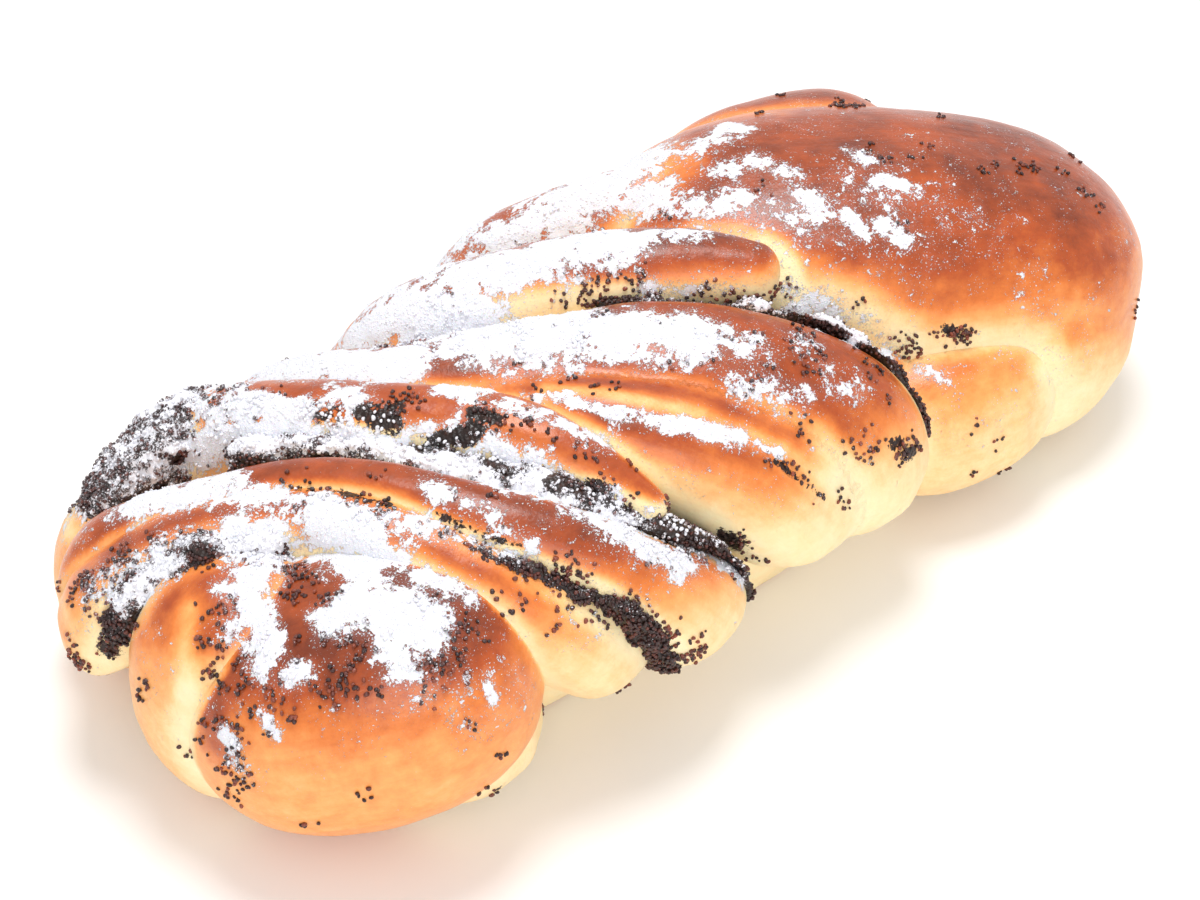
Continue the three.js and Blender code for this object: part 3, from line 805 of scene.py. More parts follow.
def set_values(mesh, name, values):
    """Keeps a value or vector for each point of the mesh, for its material."""
    values = np.asarray(values, float)
    if name in mesh.attributes:
        mesh.attributes.remove(mesh.attributes[name])
    kind, key = ("FLOAT", "value") if values.ndim == 1 else ("FLOAT_VECTOR", "vector")
    mesh.attributes.new(name, kind, "POINT").data.foreach_set(key, values.ravel())


def push_out(mesh, points, normals, distance):
    """Moves each point out along its normal, but never into the table."""
    points = points + normals * distance[:, None]
    points[:, 2] = np.maximum(points[:, 2], 0)
    mesh.vertices.foreach_set("co", ((points - MIDDLE) * MM).ravel())
    mesh.update()
    return points


def fuse(piece, voxel, rounds):
    """Gives the piece one even skin round all that it is made of."""
    remesh = piece.modifiers.new("Fuse", "REMESH")
    remesh.mode = "VOXEL"
    remesh.voxel_size = voxel * MM
    soften = piece.modifiers.new("Soften", "SMOOTH")
    soften.factor = SOFTEN_FACTOR
    soften.iterations = rounds
    graph = bpy.context.evaluated_depsgraph_get()
    made = bpy.data.meshes.new_from_object(piece.evaluated_get(graph))
    piece.modifiers.clear()
    raw = piece.data
    piece.data = made
    made.name = piece.name
    bpy.data.meshes.remove(raw)


def skin(name, shapes, voxel, rounds, step, sides):
    """A piece with one skin round the given shapes."""
    points, faces = [], []
    for shape in shapes:
        some, walls = closed_surface(*SHAPES[shape].surface(step, sides))
        start = sum(len(p) for p in points)
        points.append(some)
        faces += [tuple(start + corner for corner in wall) for wall in walls]
    piece = new_piece(name, np.concatenate(points), faces)
    fuse(piece, voxel, rounds)
    return piece


def finish_piece(piece, material, nodes):
    piece.data.materials.clear()
    piece.data.materials.append(material)
    piece.data.shade_smooth()
    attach(piece, BODY)
    if nodes:
        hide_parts(*nodes)


# ---------------------------------------------------------------- dough
def nearest_shape(points, names):
    """How far each point stands off the nearest of the named shapes, up to FAR."""
    off = np.full(len(points), FAR)
    for name in names:
        low, high = SHAPES[name].box
        near = within(points, low - FAR, high + FAR)
        if len(near):
            off[near] = np.minimum(off[near], SHAPES[name].measure(points[near]))
    return off


def nearest_other(points, own):
    """How far each point stands off the nearest other dough shape."""
    others = [s for entry in DOUGH.values() for s in entry[0] if s not in (*own, "core")]
    return nearest_shape(points, others)


def shelter(points, normals, own):
    """How far neighbours close a point in, from 0 in the open to 1 deep in a crease."""
    closed = np.zeros(len(points))
    for reach, weight in SHELTERS:
        off = nearest_other(points + normals * reach, own)
        closed += weight * np.clip(1 - off / reach, 0, 1)
    return closed


def grain_of(points, own):
    """Where each point lies in the nearest of a piece's strands, or in its first lobe."""
    shapes = [SHAPES[name] for name in own]
    if isinstance(shapes[0], Lobe):
        return shapes[0].grain(points)
    nearest = np.abs([shape.measure(points) for shape in shapes]).argmin(0)
    grains = np.stack([shape.grain(points) for shape in shapes])
    return grains[nearest, np.arange(len(points))]


def brownness(points, normals, own, levels, seam):
    """How brown the crust is, from 0 for raw cream to 1 for chestnut."""
    low, high = levels
    x, z, up = points[:, 0], points[:, 2], normals[:, 2]
    faces_up = (0.5 + 0.5 * up) ** BAKE_POWER
    height = TABLE_HEAT + (1 - TABLE_HEAT) * smoothstep(0, HOT_HEIGHT, z)
    end = smoothstep(*END_X, x) * smoothstep(*END_Z, z)
    heat = smoothstep(LEAST_HEAT, 1, faces_up * height) + END_HEAT * end * (1 - faces_up)
    ragged_seam = seam * (1 + layered(points, SEAM_LUMPS))
    apart = np.minimum(nearest_other(points, own), nearest_shape(points, FILLINGS))
    if len(own) > 1 and all(name in ROLLS for name in own):
        farther = np.maximum.reduce([SHAPES[name].measure(points) for name in own])
        apart = np.minimum(apart, farther)
    edge = smoothstep(ragged_seam, 0, apart) * (1 - CROWN_SEAM * smoothstep(*CROWN_UP, up))
    open_air = (1 - shelter(points, normals, own)) * (1 - SEAM_PALENESS * edge)
    brown = low + (high - low) * heat
    brown *= CREASE_BROWN + (1 - CREASE_BROWN) * open_air
    brown *= 1 + layered(points, BROWN_LUMPS)
    under = smoothstep(*UNDERSIDE_Z, z) * UNDERSIDE_BROWN
    return np.clip(np.maximum(brown, under), 0, MOST_BROWN)


def touch_browning(pieces):
    """Makes the crust browner or paler in the places that the photograph shows so."""
    laid = lay_patches(BROWNING_PATCHES, tree_of(pieces))
    browner = [patch for patch in laid if patch[-1] > 0]
    paler = [(*patch[:-1], -patch[-1]) for patch in laid if patch[-1] < 0]
    for piece in pieces:
        points = points_of(piece.data)
        change = amount_at(points, browner, heap) - amount_at(points, paler, heap)
        brown = read(piece.data.attributes["brown"].data, "value") + change
        set_values(piece.data, "brown", np.clip(brown, 0, MOST_BROWN))


def dough_piece(name, detail):
    own, levels, seam, slot = DOUGH[name]
    voxel = detail / MM * COARSER.get(name, 1)
    rounds = BLEND_ROUNDS.get(name, SMOOTH_ROUNDS)
    piece = skin(PREFIX + name, own, voxel, rounds, *DOUGH_RINGS)
    mesh = piece.data
    points, normals = points_of(mesh), normals_of(mesh)
    grain = grain_of(points, own)
    up = normals[:, 2]
    uneven = layered(points, CRUST_LUMPS)
    uneven += layered(grain / GRAIN_SIZE, GRAIN_LUMPS) * smoothstep(*GRAIN_UP, up)
    if slot == "pale_dough":
        uneven += layered(points / CREASE_SIZE, CREASE_LUMPS) * smoothstep(*CREASE_UP, np.abs(up))
    points = push_out(mesh, points, normals, uneven)
    set_values(mesh, "grain", grain * MM)
    set_values(mesh, "brown", brownness(points, normals_of(mesh), own, levels, seam))
    finish_piece(piece, material_of(PREFIX + slot, make_dough), (name,))
    return piece


def filling_piece(name):
    piece = skin(PREFIX + name, (name,), FILLING_DETAIL, FILLING_ROUNDS, *FILLING_RINGS)
    mesh = piece.data
    points, normals = points_of(mesh), normals_of(mesh)
    push_out(mesh, points, normals, layered(points, FILLING_LUMPS) - FILLING_SUNK)
    finish_piece(piece, material_of("poppy_filling", make_filling), (name,))


# ---------------------------------------------------------------- places seen in the photograph
def view_axes():
    """The photograph's right, its up and the way back to the camera."""
    a, e = math.radians(AZIMUTH), math.radians(ELEVATION)
    back = np.array((math.sin(a) * math.cos(e), -math.cos(a) * math.cos(e), math.sin(e)))
    right = np.array((math.cos(a), math.sin(a), 0))
    return right, np.cross(back, right), back


def camera_place():
    return (np.array(LOOK_AT) + view_axes()[2] * DISTANCE) * MM


def photo_ray(pixel):
    """Where a line of sight starts and where it goes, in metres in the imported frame."""
    right, up, back = view_axes()
    focal = LENS / SENSOR * PHOTO_SIZE[0]
    aside = right * (pixel[0] - PHOTO_SIZE[0] / 2) - up * (pixel[1] - PHOTO_SIZE[1] / 2)
    return Vector(camera_place()), Vector(unit(aside - back * focal))


def tree_of(pieces):
    """One search tree over several pieces."""
    points, faces = [], []
    for piece in pieces:
        start = len(points)
        points += [v.co[:] for v in piece.data.vertices]
        faces += [[start + v for v in p.vertices] for p in piece.data.polygons]
    return BVHTree.FromPolygons(points, faces)


def lay_patches(patches, tree):
    """The runs of each patch as they lie on the loaf, with its radius and amount. In mm."""
    laid = []
    for first, last, radius, amount in patches:
        steps = max(2, int(math.dist(first, last) / PATCH_STEP) + 1)
        hits = [tree.ray_cast(*photo_ray(pixel))[0] for pixel in np.linspace(first, last, steps)]
        ends = [np.array(hit) / MM + MIDDLE for hit in hits if hit is not None]
        runs = zip(ends, ends[1:]) if len(ends) > 1 else zip(ends, ends)
        laid += [(start, end, radius, amount) for start, end in runs]
    return laid


def amount_at(points, laid, falloff):
    """How much of what the patches hold lies at each point."""
    most = np.zeros(len(points))
    for first, last, radius, amount in laid:
        reach = PATCH_REACH * radius
        near = within(points, np.minimum(first, last) - reach, np.maximum(first, last) + reach)
        if not len(near):
            continue
        run = last - first
        beside = points[near] - first
        share = np.clip(beside @ run / max(run @ run, 1e-6), 0, 1)
        off = np.linalg.norm(beside - share[:, None] * run, axis=1) / radius
        most[near] = np.maximum(most[near], amount * falloff(off))
    return most


def plateau(off):
    """Even over most of a patch, with a short edge."""
    return np.clip(PLATEAU - PATCH_FALL * off**2, 0, 1)


def heap(off):
    """Most in the middle of a patch, and less and less far out past its edge."""
    return np.exp(-PATCH_FALL * off**2)


def sugar_at(points, normals, laid):
    """How much sugar lies at each point: about 0.5 where it covers half of the dough."""
    x, y = points[:, 0], points[:, 1]
    behind = smoothstep(*BEHIND_Y, y) * smoothstep(*BEHIND_X, x) * smoothstep(*BEHIND_END_X, x)
    heaped, bare = laid
    amount = np.maximum(amount_at(points, heaped, heap), LEAST_SUGAR + SUGAR_BEHIND * behind)
    knocked_off = amount_at(points, bare, heap) * (BARE_SHARE + layered(points, BARE_LUMPS))
    amount -= np.clip(knocked_off, 0, amount)
    ragged = layered(points, SUGAR_LUMPS) * (SMOOTH_SUGAR + np.minimum(amount, 1))
    return np.clip(amount + ragged, 0, MOST_SUGAR) * smoothstep(*SUGAR_UP, normals[:, 2])


def dust(mesh, laid, spots):
    """Lays sugar and stains of filling on a piece, and thickens it where the sugar is deep."""
    points, normals = points_of(mesh), normals_of(mesh)
    amount = sugar_at(points, normals, laid)
    set_values(mesh, "sugar", amount)
    stains = amount_at(points, spots, heap) * (1 + layered(points, STAIN_LUMPS))
    set_values(mesh, "paste", stains)
    thick = SUGAR_DEPTH * smoothstep(*DEEP_SUGAR, amount)
    push_out(mesh, points, normals, thick * (DEPTH_SHARE + layered(points, DEPTH_LUMPS)))


# ---------------------------------------------------------------- scattering
def exposed(points, normals, name):
    """1 where a face is outside every other piece of dough, and 0 where it is buried."""
    node = name.removeprefix(PREFIX)
    own = DOUGH[node][0] if node in DOUGH else ()
    off = nearest_other(points + normals * CLEAR, own)
    return (off > 0).astype(float)


def weighed_faces(pieces, weigh):
    """The middles and normals of the pieces' faces, and how much should lie on each."""
    found = []
    for piece in pieces:
        middle, normal, area = faces_of(piece.data)
        share = exposed(middle, normal, piece.name) * weigh(middle, normal)
        found.append((middle, normal, area * share))
    return [np.concatenate(values) for values in zip(*found)]


def sidesteps(normals, reach, random):
    """Random steps at right angles to the normals."""
    steps = random.normal(size=normals.shape) * reach
    return steps - normals * (steps * normals).sum(1)[:, None]


def spread(faces, count, apart, random):
    """Picks count places, likelier where the weight is high, and keeps them apart."""
    middle, normal, weight = faces
    if weight.sum() <= 0:
        return np.empty((0, 3)), np.empty((0, 3))
    picks = random.choice(len(weight), size=count * 3, p=weight / weight.sum())
    places = middle[picks] + sidesteps(normal[picks], JITTER, random)
    taken, kept = set(), []
    for index, place in enumerate(places):
        cell = tuple(np.floor(place / apart).astype(int))
        if cell in taken:
            continue
        taken.add(cell)
        kept.append(index)
        if len(kept) >= count:
            break
    return places[kept], normal[picks[kept]]


def gather(places, normals, tree, random):
    """Draws places together into loose groups, and lays them on the surface again."""
    leaders = np.arange(len(places)) // GROUP_SIZE * GROUP_SIZE
    drawn = places[leaders] + sidesteps(normals[leaders], GROUP_REACH, random)
    found = [tree.find_nearest(Vector(place))[:2] for place in (drawn - MIDDLE) * MM]
    laid = np.reshape([spot[:] for spot, _ in found], (-1, 3))
    return laid / MM + MIDDLE, np.reshape([normal[:] for _, normal in found], (-1, 3))


def seed_form():
    """A kidney-shaped seed one millimetre long, lying along X, as points and triangles."""
    angle = np.pi * np.arange(1, SEED_RINGS + 1)[:, None] / (SEED_RINGS + 1)
    turn = 2 * np.pi * np.arange(SEED_SIDES) / SEED_SIDES
    x = -0.5 * np.cos(angle) * np.ones(SEED_SIDES)
    y = SEED_WIDE * np.sin(angle) * np.cos(turn) + SEED_BEND * (4 * x * x - 0.5)
    z = SEED_HIGH * np.sin(angle) * np.sin(turn)
    tips = [np.array((end, SEED_BEND / 2, 0)) for end in (-0.5, 0.5)]
    points, walls = closed_surface(tips[0], np.stack([x, y, z], axis=-1), tips[1])
    faces = [(wall[0], *wall[k : k + 2]) for wall in walls for k in range(1, len(wall) - 1)]
    return points, np.array(faces)


def clump_form():
    """A rough grain, one millimetre wide, as points and triangles."""
    golden = (1 + 5**0.5) / 2
    points = []
    for a in (-1, 1):
        for b in (-golden, golden):
            points += [(a, b, 0), (0, a, b), (b, 0, a)]
    hull = bpy.data.meshes.new("clump")
    shell = bmesh.new()
    for point in unit(np.array(points, float)) * 0.5:
        shell.verts.new(point)
    bmesh.ops.convex_hull(shell, input=shell.verts)
    bmesh.ops.recalc_face_normals(shell, faces=shell.faces)
    shell.to_mesh(hull)
    shell.free()
    points = np.array([v.co[:] for v in hull.vertices])
    faces = np.array([p.vertices[:] for p in hull.polygons])
    bpy.data.meshes.remove(hull)
    return points, faces


def turned_frames(normals, random):
    """A random turn about each normal, tipped a little: three axes each."""
    tipped = unit(normals + random.normal(size=normals.shape) * TILT)
    aside = unit(np.cross(tipped, random.normal(size=normals.shape)))
    return np.stack([aside, np.cross(tipped, aside), tipped], axis=1)


def scattered_piece(name, form, places, frames, sizes, roughness=None):
    """One mesh of many copies of a form, each placed, turned and sized."""
    points, faces = form
    copies = points[None] * sizes[:, None]
    if roughness is not None:
        copies = copies * (1 + roughness)
    copies = np.einsum("nvk,nkc->nvc", copies, frames) + places[:, None]
    walls = faces[None] + np.arange(len(places))[:, None, None] * len(points)
    return new_piece(name, copies.reshape(-1, 3), walls.reshape(-1, faces.shape[1]))


def lay_seeds(name, spots, length, sugar, lightest, random):
    """A piece of seeds on the given spots. Each has its tone, and the sugar that lies there."""
    places, normals = spots
    form = seed_form()
    least, more = SEED_SIZES
    sizes = length * (least + more * random.random((len(places), 1)))
    least, more = SEED_LIFT
    lift = least + more * random.random((len(places), 1))
    frames = turned_frames(normals, random)
    seeds = scattered_piece(name, form, places + normals * lift, frames, sizes)
    tone = random.random(len(places)) * lightest
    amount = sugar_at(places, normals, sugar) * SUGAR_ON_SEEDS
    for key, values in (("tone", tone), ("sugar", amount)):
        set_values(seeds.data, key, np.repeat(values, len(form[0])))
    finish_piece(seeds, material_of("poppy_seed", make_seed), ())


# ---------------------------------------------------------------- colours and surfaces
# Colours are 0..255 screen values. A ramp's stops are the values at which its colours lie.
SUGAR_WHITE = (237, 237, 243)
PASTE_STOPS = ((0.3, (22, 15, 14)), (0.55, (44, 27, 22)), (0.75, (84, 46, 32)))
POWDER_STOPS = ((0.3, (228, 228, 234)), (0.7, (240, 240, 245)))
SEED_STOPS = (
    (0.0, (44, 28, 29)),
    (0.45, (70, 40, 37)),
    (0.75, (108, 54, 42)),
    (1.0, (146, 72, 50)),
)
CRUST_STOPS = (
    (0.0, (249, 230, 184)),
    (0.13, (250, 219, 165)),
    (0.27, (250, 195, 130)),
    (0.42, (246, 165, 92)),
    (0.60, (224, 123, 52)),
    (0.80, (176, 78, 30)),
    (1.0, (118, 48, 20)),
)

# Each noise's lumps per metre, its detail and its roughness.
NOISES = {
    "streaks": (420, 3.0, 0.6),
    "mottle": (260, 5.0, 0.7),
    "pores": (900, 4.0, 0.65),
    "dents": (150, 2.0, 0.5),
    "stain edge": (900, 4.0, 0.7),
    "sugar edge": (480, 5.0, 0.75),
    "sugar specks": (2300, 2.0, 0.6),
    "sugar grains": (1500, 3.0, 0.75),
    "paste tint": (420, 3.0, 0.7),
    "powder tint": (900, 3.0, 0.7),
    "powder grains": (3500, 2.0, 0.7),
}
# Each relief's strength, and the height in metres of a full step.
BUMPS = {
    "dough": (0.75, 0.0002),
    "filling": (0.9, 0.0004),
    "seed": (0.5, 0.0001),
    "powder": (0.7, 0.0002),
}
PACKED_SEEDS = 1000.0  # to a metre, in the relief of the filling
SEED_PITS = 5200.0

# The powder: the ragged amount at which it starts and covers all, the fine noise that leaves a
# speck where there is no sugar and where there is half, and a faint white haze where sugar is
# thin, which is partly the finest dust and partly a painted sheen.
SUGAR_SWING = 1.3
SUGAR_EDGE = (0.43, 0.54)
SPECK_LIMITS = (0.0, 0.5, 0.67, 0.54)
SPECK_EDGE = (0.0, 0.05)
SPECK_START = (0.02, 0.12)
DUST_AND_SHEEN_HAZE = (0.05, 0.6, 0.0, 0.06)
EVEN_RELIEF = 0.6
SUGAR_ROUGHNESS = 0.9

# The crust: how much its colour swings, where the stains end, and its roughness and glaze, each
# from one brownness to another and from one value to another.
GRAIN_STRETCH = (0.12, 1.0, 1.0)
MOTTLE, STREAKS = 0.16, 0.08
STAIN_SWING = 0.8
STAIN_EDGE = (0.5, 0.62)
CRUST_ROUGHNESS = (0.1, 0.7, 0.5, 0.3)
CRUST_GLAZE = (0.15, 0.6, 0.0, 0.18)
FINE_RELIEF, COARSE_RELIEF = 0.9, 3.0


# ---------------------------------------------------------------- materials
def set_inputs(tree, node, inputs):
    """Sets inputs of a node, each to a value or to another node's output."""
    for key, value in inputs.items():
        if isinstance(value, bpy.types.NodeSocket):
            tree.links.new(value, node.inputs[key])
        else:
            node.inputs[key].default_value = value


def new_node(tree, kind, inputs=None, **settings):
    node = tree.nodes.new(kind)
    for key, value in settings.items():
        setattr(node, key, value)
    set_inputs(tree, node, inputs or {})
    return node


def calculate(tree, operation, first, second):
    inputs = {0: first, 1: second}
    return new_node(tree, "ShaderNodeMath", inputs, operation=operation).outputs[0]


def blend_of(tree, share, first, second, kind="RGBA"):
    """The first where the share is 0 and the second where it is 1."""
    one, other, result = {"RGBA": (6, 7, 2), "FLOAT": (2, 3, 0)}[kind]
    inputs = {0: share, one: first, other: second}
    return new_node(tree, "ShaderNodeMix", inputs, data_type=kind).outputs[result]


def ranged(tree, value, low, high, to_low=0.0, to_high=1.0, curve="SMOOTHSTEP"):
    inputs = {0: value, 1: low, 2: high, 3: to_low, 4: to_high}
    return new_node(tree, "ShaderNodeMapRange", inputs, interpolation_type=curve).outputs[0]


def swinging(tree, value, reach):
    """A value of 0 to 1 as one from -reach to reach."""
    return ranged(tree, value, 0, 1, -reach, reach, curve="LINEAR")


def object_place(tree):
    return new_node(tree, "ShaderNodeTexCoord").outputs["Object"]


def noise_of(tree, name, vector=None):
    scale, detail, roughness = NOISES[name]
    place = object_place(tree) if vector is None else vector
    inputs = {"Vector": place, "Scale": scale, "Detail": detail, "Roughness": roughness}
    return new_node(tree, "ShaderNodeTexNoise", inputs).outputs[0]


def cells_of(tree, scale):
    """How far each place is from the middle of its cell."""
    inputs = {"Vector": object_place(tree), "Scale": scale}
    return new_node(tree, "ShaderNodeTexVoronoi", inputs).outputs["Distance"]


def bump_of(tree, height, name):
    strength, distance = BUMPS[name]
    inputs = {"Height": height, "Strength": strength, "Distance": distance}
    return new_node(tree, "ShaderNodeBump", inputs).outputs[0]


def kept_value(tree, name, output="Fac"):
    return new_node(tree, "ShaderNodeAttribute", attribute_name=name).outputs[output]


def linear(colour):
    """A colour given as 0..255 screen values, in linear light."""
    return tuple(
        c / 255 / 12.92 if c <= 10 else ((c / 255 + 0.055) / 1.055) ** 2.4 for c in colour
    )


def colour_ramp(tree, value, stops):
    ramp = new_node(tree, "ShaderNodeValToRGB", {0: value})
    elements = ramp.color_ramp.elements
    while len(elements) < len(stops):
        elements.new(0.5)
    for element, (place, colour) in zip(elements, stops):
        element.position = place
        element.color = (*linear(colour), 1)
    return ramp.outputs[0]


def group_node(tree, name, make, sockets, inputs=None):
    """A node of the group of that name, which is made when it is first asked for."""
    if name not in bpy.data.node_groups:
        group = bpy.data.node_groups.new(name, "ShaderNodeTree")
        for label, in_out, kind in sockets:
            group.interface.new_socket(label, in_out=in_out, socket_type="NodeSocket" + kind)
        given = group.nodes.new("NodeGroupInput").outputs
        set_inputs(group, group.nodes.new("NodeGroupOutput"), make(group, given))
    return new_node(tree, "ShaderNodeGroup", inputs, node_tree=bpy.data.node_groups[name])


def material_of(name, make):
    """The material of that name, which is made when it is first asked for."""
    if name in bpy.data.materials:
        return bpy.data.materials[name]
    material = bpy.data.materials.new(name)
    material.use_nodes = True
    tree = material.node_tree
    tree.nodes.clear()
    shader = new_node(tree, "ShaderNodeBsdfPrincipled")
    new_node(tree, "ShaderNodeOutputMaterial", {"Surface": shader.outputs[0]})
    set_inputs(tree, shader, make(tree))
    return material


def make_sugar_cover(tree, given):
    """Where powdered sugar covers a surface, and how high it stands."""
    amount = given["Amount"]
    swing = swinging(tree, noise_of(tree, "sugar edge"), SUGAR_SWING)
    patch = ranged(tree, calculate(tree, "ADD", amount, swing), *SUGAR_EDGE)
    limit = ranged(tree, amount, *SPECK_LIMITS, curve="LINEAR")
    fine = calculate(tree, "SUBTRACT", noise_of(tree, "sugar specks"), limit)
    speck = calculate(tree, "MULTIPLY", ranged(tree, fine, *SPECK_EDGE), given["Specks"])
    speck = calculate(tree, "MULTIPLY", speck, ranged(tree, amount, *SPECK_START))
    cover = calculate(tree, "MAXIMUM", patch, speck)
    # a faint white haze where sugar is thin: partly fine dust, partly a painted sheen
    cover = calculate(tree, "MAXIMUM", cover, ranged(tree, amount, *DUST_AND_SHEEN_HAZE))
    grainy = calculate(tree, "ADD", noise_of(tree, "sugar grains"), EVEN_RELIEF)
    return {"Cover": cover, "Relief": calculate(tree, "MULTIPLY", cover, grainy)}


def make_paste(tree, given):
    """The dark filling's colour, and its relief of packed seeds."""
    colour = colour_ramp(tree, noise_of(tree, "paste tint"), PASTE_STOPS)
    relief = calculate(tree, "SUBTRACT", 1.0, cells_of(tree, PACKED_SEEDS))
    return {"Colour": colour, "Relief": relief}


def sugared(tree, colour, specks):
    """A colour with the sugar that lies on it, and the sugar's cover and relief."""
    sockets = (
        ("Amount", "INPUT", "Float"),
        ("Specks", "INPUT", "Float"),
        ("Cover", "OUTPUT", "Float"),
        ("Relief", "OUTPUT", "Float"),
    )
    inputs = {"Amount": kept_value(tree, "sugar"), "Specks": specks}
    sugar = group_node(tree, "powdered_sugar", make_sugar_cover, sockets, inputs).outputs
    white = (*linear(SUGAR_WHITE), 1)
    return blend_of(tree, sugar["Cover"], colour, white), sugar["Cover"], sugar["Relief"]


def paste_of(tree):
    sockets = (("Colour", "OUTPUT", "Color"), ("Relief", "OUTPUT", "Float"))
    return group_node(tree, "poppy_paste", make_paste, sockets).outputs


def make_dough(tree):
    grain = kept_value(tree, "grain", "Vector")
    stretch = new_node(tree, "ShaderNodeMapping", {"Vector": grain, "Scale": GRAIN_STRETCH})
    streaks = noise_of(tree, "streaks", stretch.outputs[0])
    mottle = swinging(tree, noise_of(tree, "mottle"), MOTTLE)
    swing = calculate(tree, "ADD", mottle, swinging(tree, streaks, STREAKS))
    brown = calculate(tree, "ADD", kept_value(tree, "brown"), swing)
    ragged = swinging(tree, noise_of(tree, "stain edge"), STAIN_SWING)
    stained = calculate(tree, "ADD", kept_value(tree, "paste"), ragged)
    stained = ranged(tree, stained, *STAIN_EDGE)
    paste = paste_of(tree)
    crust = blend_of(tree, stained, colour_ramp(tree, brown, CRUST_STOPS), paste["Colour"])
    colour, cover, heaps = sugared(tree, crust, specks=0.85)
    rough = ranged(tree, brown, *CRUST_ROUGHNESS)
    covered = calculate(tree, "MAXIMUM", cover, stained)
    glaze = ranged(tree, brown, *CRUST_GLAZE)
    height = 0.0
    for relief, share in (
        (noise_of(tree, "pores"), FINE_RELIEF),
        (streaks, FINE_RELIEF),
        (noise_of(tree, "dents", stretch.outputs[0]), COARSE_RELIEF),
        (calculate(tree, "MULTIPLY", paste["Relief"], stained), COARSE_RELIEF),
        (heaps, COARSE_RELIEF),
    ):
        height = calculate(tree, "ADD", height, calculate(tree, "MULTIPLY", relief, share))
    return {
        "Base Color": colour,
        "Roughness": blend_of(tree, cover, rough, SUGAR_ROUGHNESS, "FLOAT"),
        "Normal": bump_of(tree, height, "dough"),
        "Subsurface Weight": 0.12,
        "Subsurface Radius": (1.0, 0.45, 0.2),
        "Subsurface Scale": 0.003,
        "Coat Weight": blend_of(tree, covered, glaze, 0.0, "FLOAT"),
        "Coat Roughness": 0.2,
        "Specular IOR Level": 0.4,
    }


def make_filling(tree):
    paste = paste_of(tree)
    colour, cover, _ = sugared(tree, paste["Colour"], specks=0.9)
    return {
        "Base Color": colour,
        "Roughness": blend_of(tree, cover, 0.38, SUGAR_ROUGHNESS, "FLOAT"),
        "Normal": bump_of(tree, paste["Relief"], "filling"),
    }


def make_seed(tree):
    shade = colour_ramp(tree, kept_value(tree, "tone"), SEED_STOPS)
    return {
        "Base Color": sugared(tree, shade, specks=0.8)[0],
        "Normal": bump_of(tree, cells_of(tree, SEED_PITS), "seed"),
        "Roughness": 0.36,
    }


def make_powder(tree):
    return {
        "Base Color": colour_ramp(tree, noise_of(tree, "powder tint"), POWDER_STOPS),
        "Normal": bump_of(tree, noise_of(tree, "powder grains"), "powder"),
        "Roughness": 0.95,
    }


def make_floor(tree):
    return {"Base Color": (0.93, 0.93, 0.93, 1), "Roughness": 0.9}


# ---------------------------------------------------------------- settings
class PoppyCakeSettings(bpy.types.PropertyGroup):
    """Sizes and amounts that a user would change"""

    dough_detail: bpy.props.FloatProperty(
        name="Dough Detail",
        description="Size of the faces on the dough",
        default=0.001,
        min=0.0005,
        max=0.004,
        unit="LENGTH",
    )
    seed_length: bpy.props.FloatProperty(
        name="Seed Length",
        description="Length of a poppy seed",
        default=0.001,
        min=0.0006,
        max=0.002,
        unit="LENGTH",
    )
    loose_seeds: bpy.props.IntProperty(
        name="Loose Seeds",
        description="Seeds lying on the dough",
        default=3400,
        min=0,
        max=5000,
    )
    filling_seeds: bpy.props.IntProperty(
        name="Filling Seeds",
        description="Seeds packed on the filling",
        default=4200,
        min=0,
        max=5500,
    )
    sugar_clumps: bpy.props.IntProperty(
        name="Sugar Clumps",
        description="Clumps of powdered sugar",
        default=9000,
        min=0,
        max=9900,
    )


def cake_pieces(names):
    return [bpy.data.objects[PREFIX + name] for name in names]


# ---------------------------------------------------------------- the stage, in metres
CLIP = (0.01, 20)
FLOOR_HALF = 3.0
FLOOR_DROP = 0.0002  # below the loaf's underside, so that the two faces don't meet
SKY_STRENGTH = 0.7
LIGHTS = (
    # the name, the place, the size and the power in watts
    ("overhead", (0.08, 0.14, 0.9), 0.4, 5.2),
    ("front", (-0.5, -0.75, 0.45), 0.7, 3.5),
)
LIT_PLACE = (0, 0, 0.03)


# ---------------------------------------------------------------- operators
class POPPYCAKE_OT_stage(bpy.types.Operator):
    """Make the camera at the photograph's angle, the pale floor and the soft studio lights"""

    bl_idname = "poppycake.stage"
    bl_label = "Stage"

    def execute(self, context):
        scene = context.scene
        data = bpy.data.cameras.new("camera")
        data.lens = LENS
        data.sensor_width = SENSOR
        data.clip_start, data.clip_end = CLIP
        camera = bpy.data.objects.new("camera", data)
        turn = Matrix(view_axes()).transposed().to_4x4()
        camera.matrix_world = Matrix.Translation(camera_place()) @ turn
        scene.collection.objects.link(camera)
        scene.camera = camera
        scene.view_settings.view_transform = "Standard"

        floor = bpy.data.meshes.new("floor")
        corners = ((-1, -1), (1, -1), (1, 1), (-1, 1))
        places = [(x * FLOOR_HALF, y * FLOOR_HALF, 0) for x, y in corners]
        floor.from_pydata(places, [], [(0, 1, 2, 3)])
        ground = bpy.data.objects.new("floor", floor)
        ground.location.z = -FLOOR_DROP
        floor.materials.append(material_of("pale_floor", make_floor))
        scene.collection.objects.link(ground)

        world = bpy.data.worlds.new("studio")
        world.use_nodes = True
        sky = world.node_tree.nodes["Background"]
        sky.inputs[0].default_value = (1, 1, 1, 1)
        sky.inputs[1].default_value = SKY_STRENGTH
        scene.world = world
        for light in LIGHTS:
            self.add_light(*light)
        return {"FINISHED"}

    def add_light(self, name, place, size, power):
        data = bpy.data.lights.new(name, "AREA")
        data.shape = "DISK"
        data.size = size
        data.energy = power
        light = bpy.data.objects.new(name, data)
        light.location = place
        aim = Vector(LIT_PLACE) - Vector(place)
        light.rotation_euler = aim.to_track_quat("-Z", "Y").to_euler()
        bpy.context.scene.collection.objects.link(light)


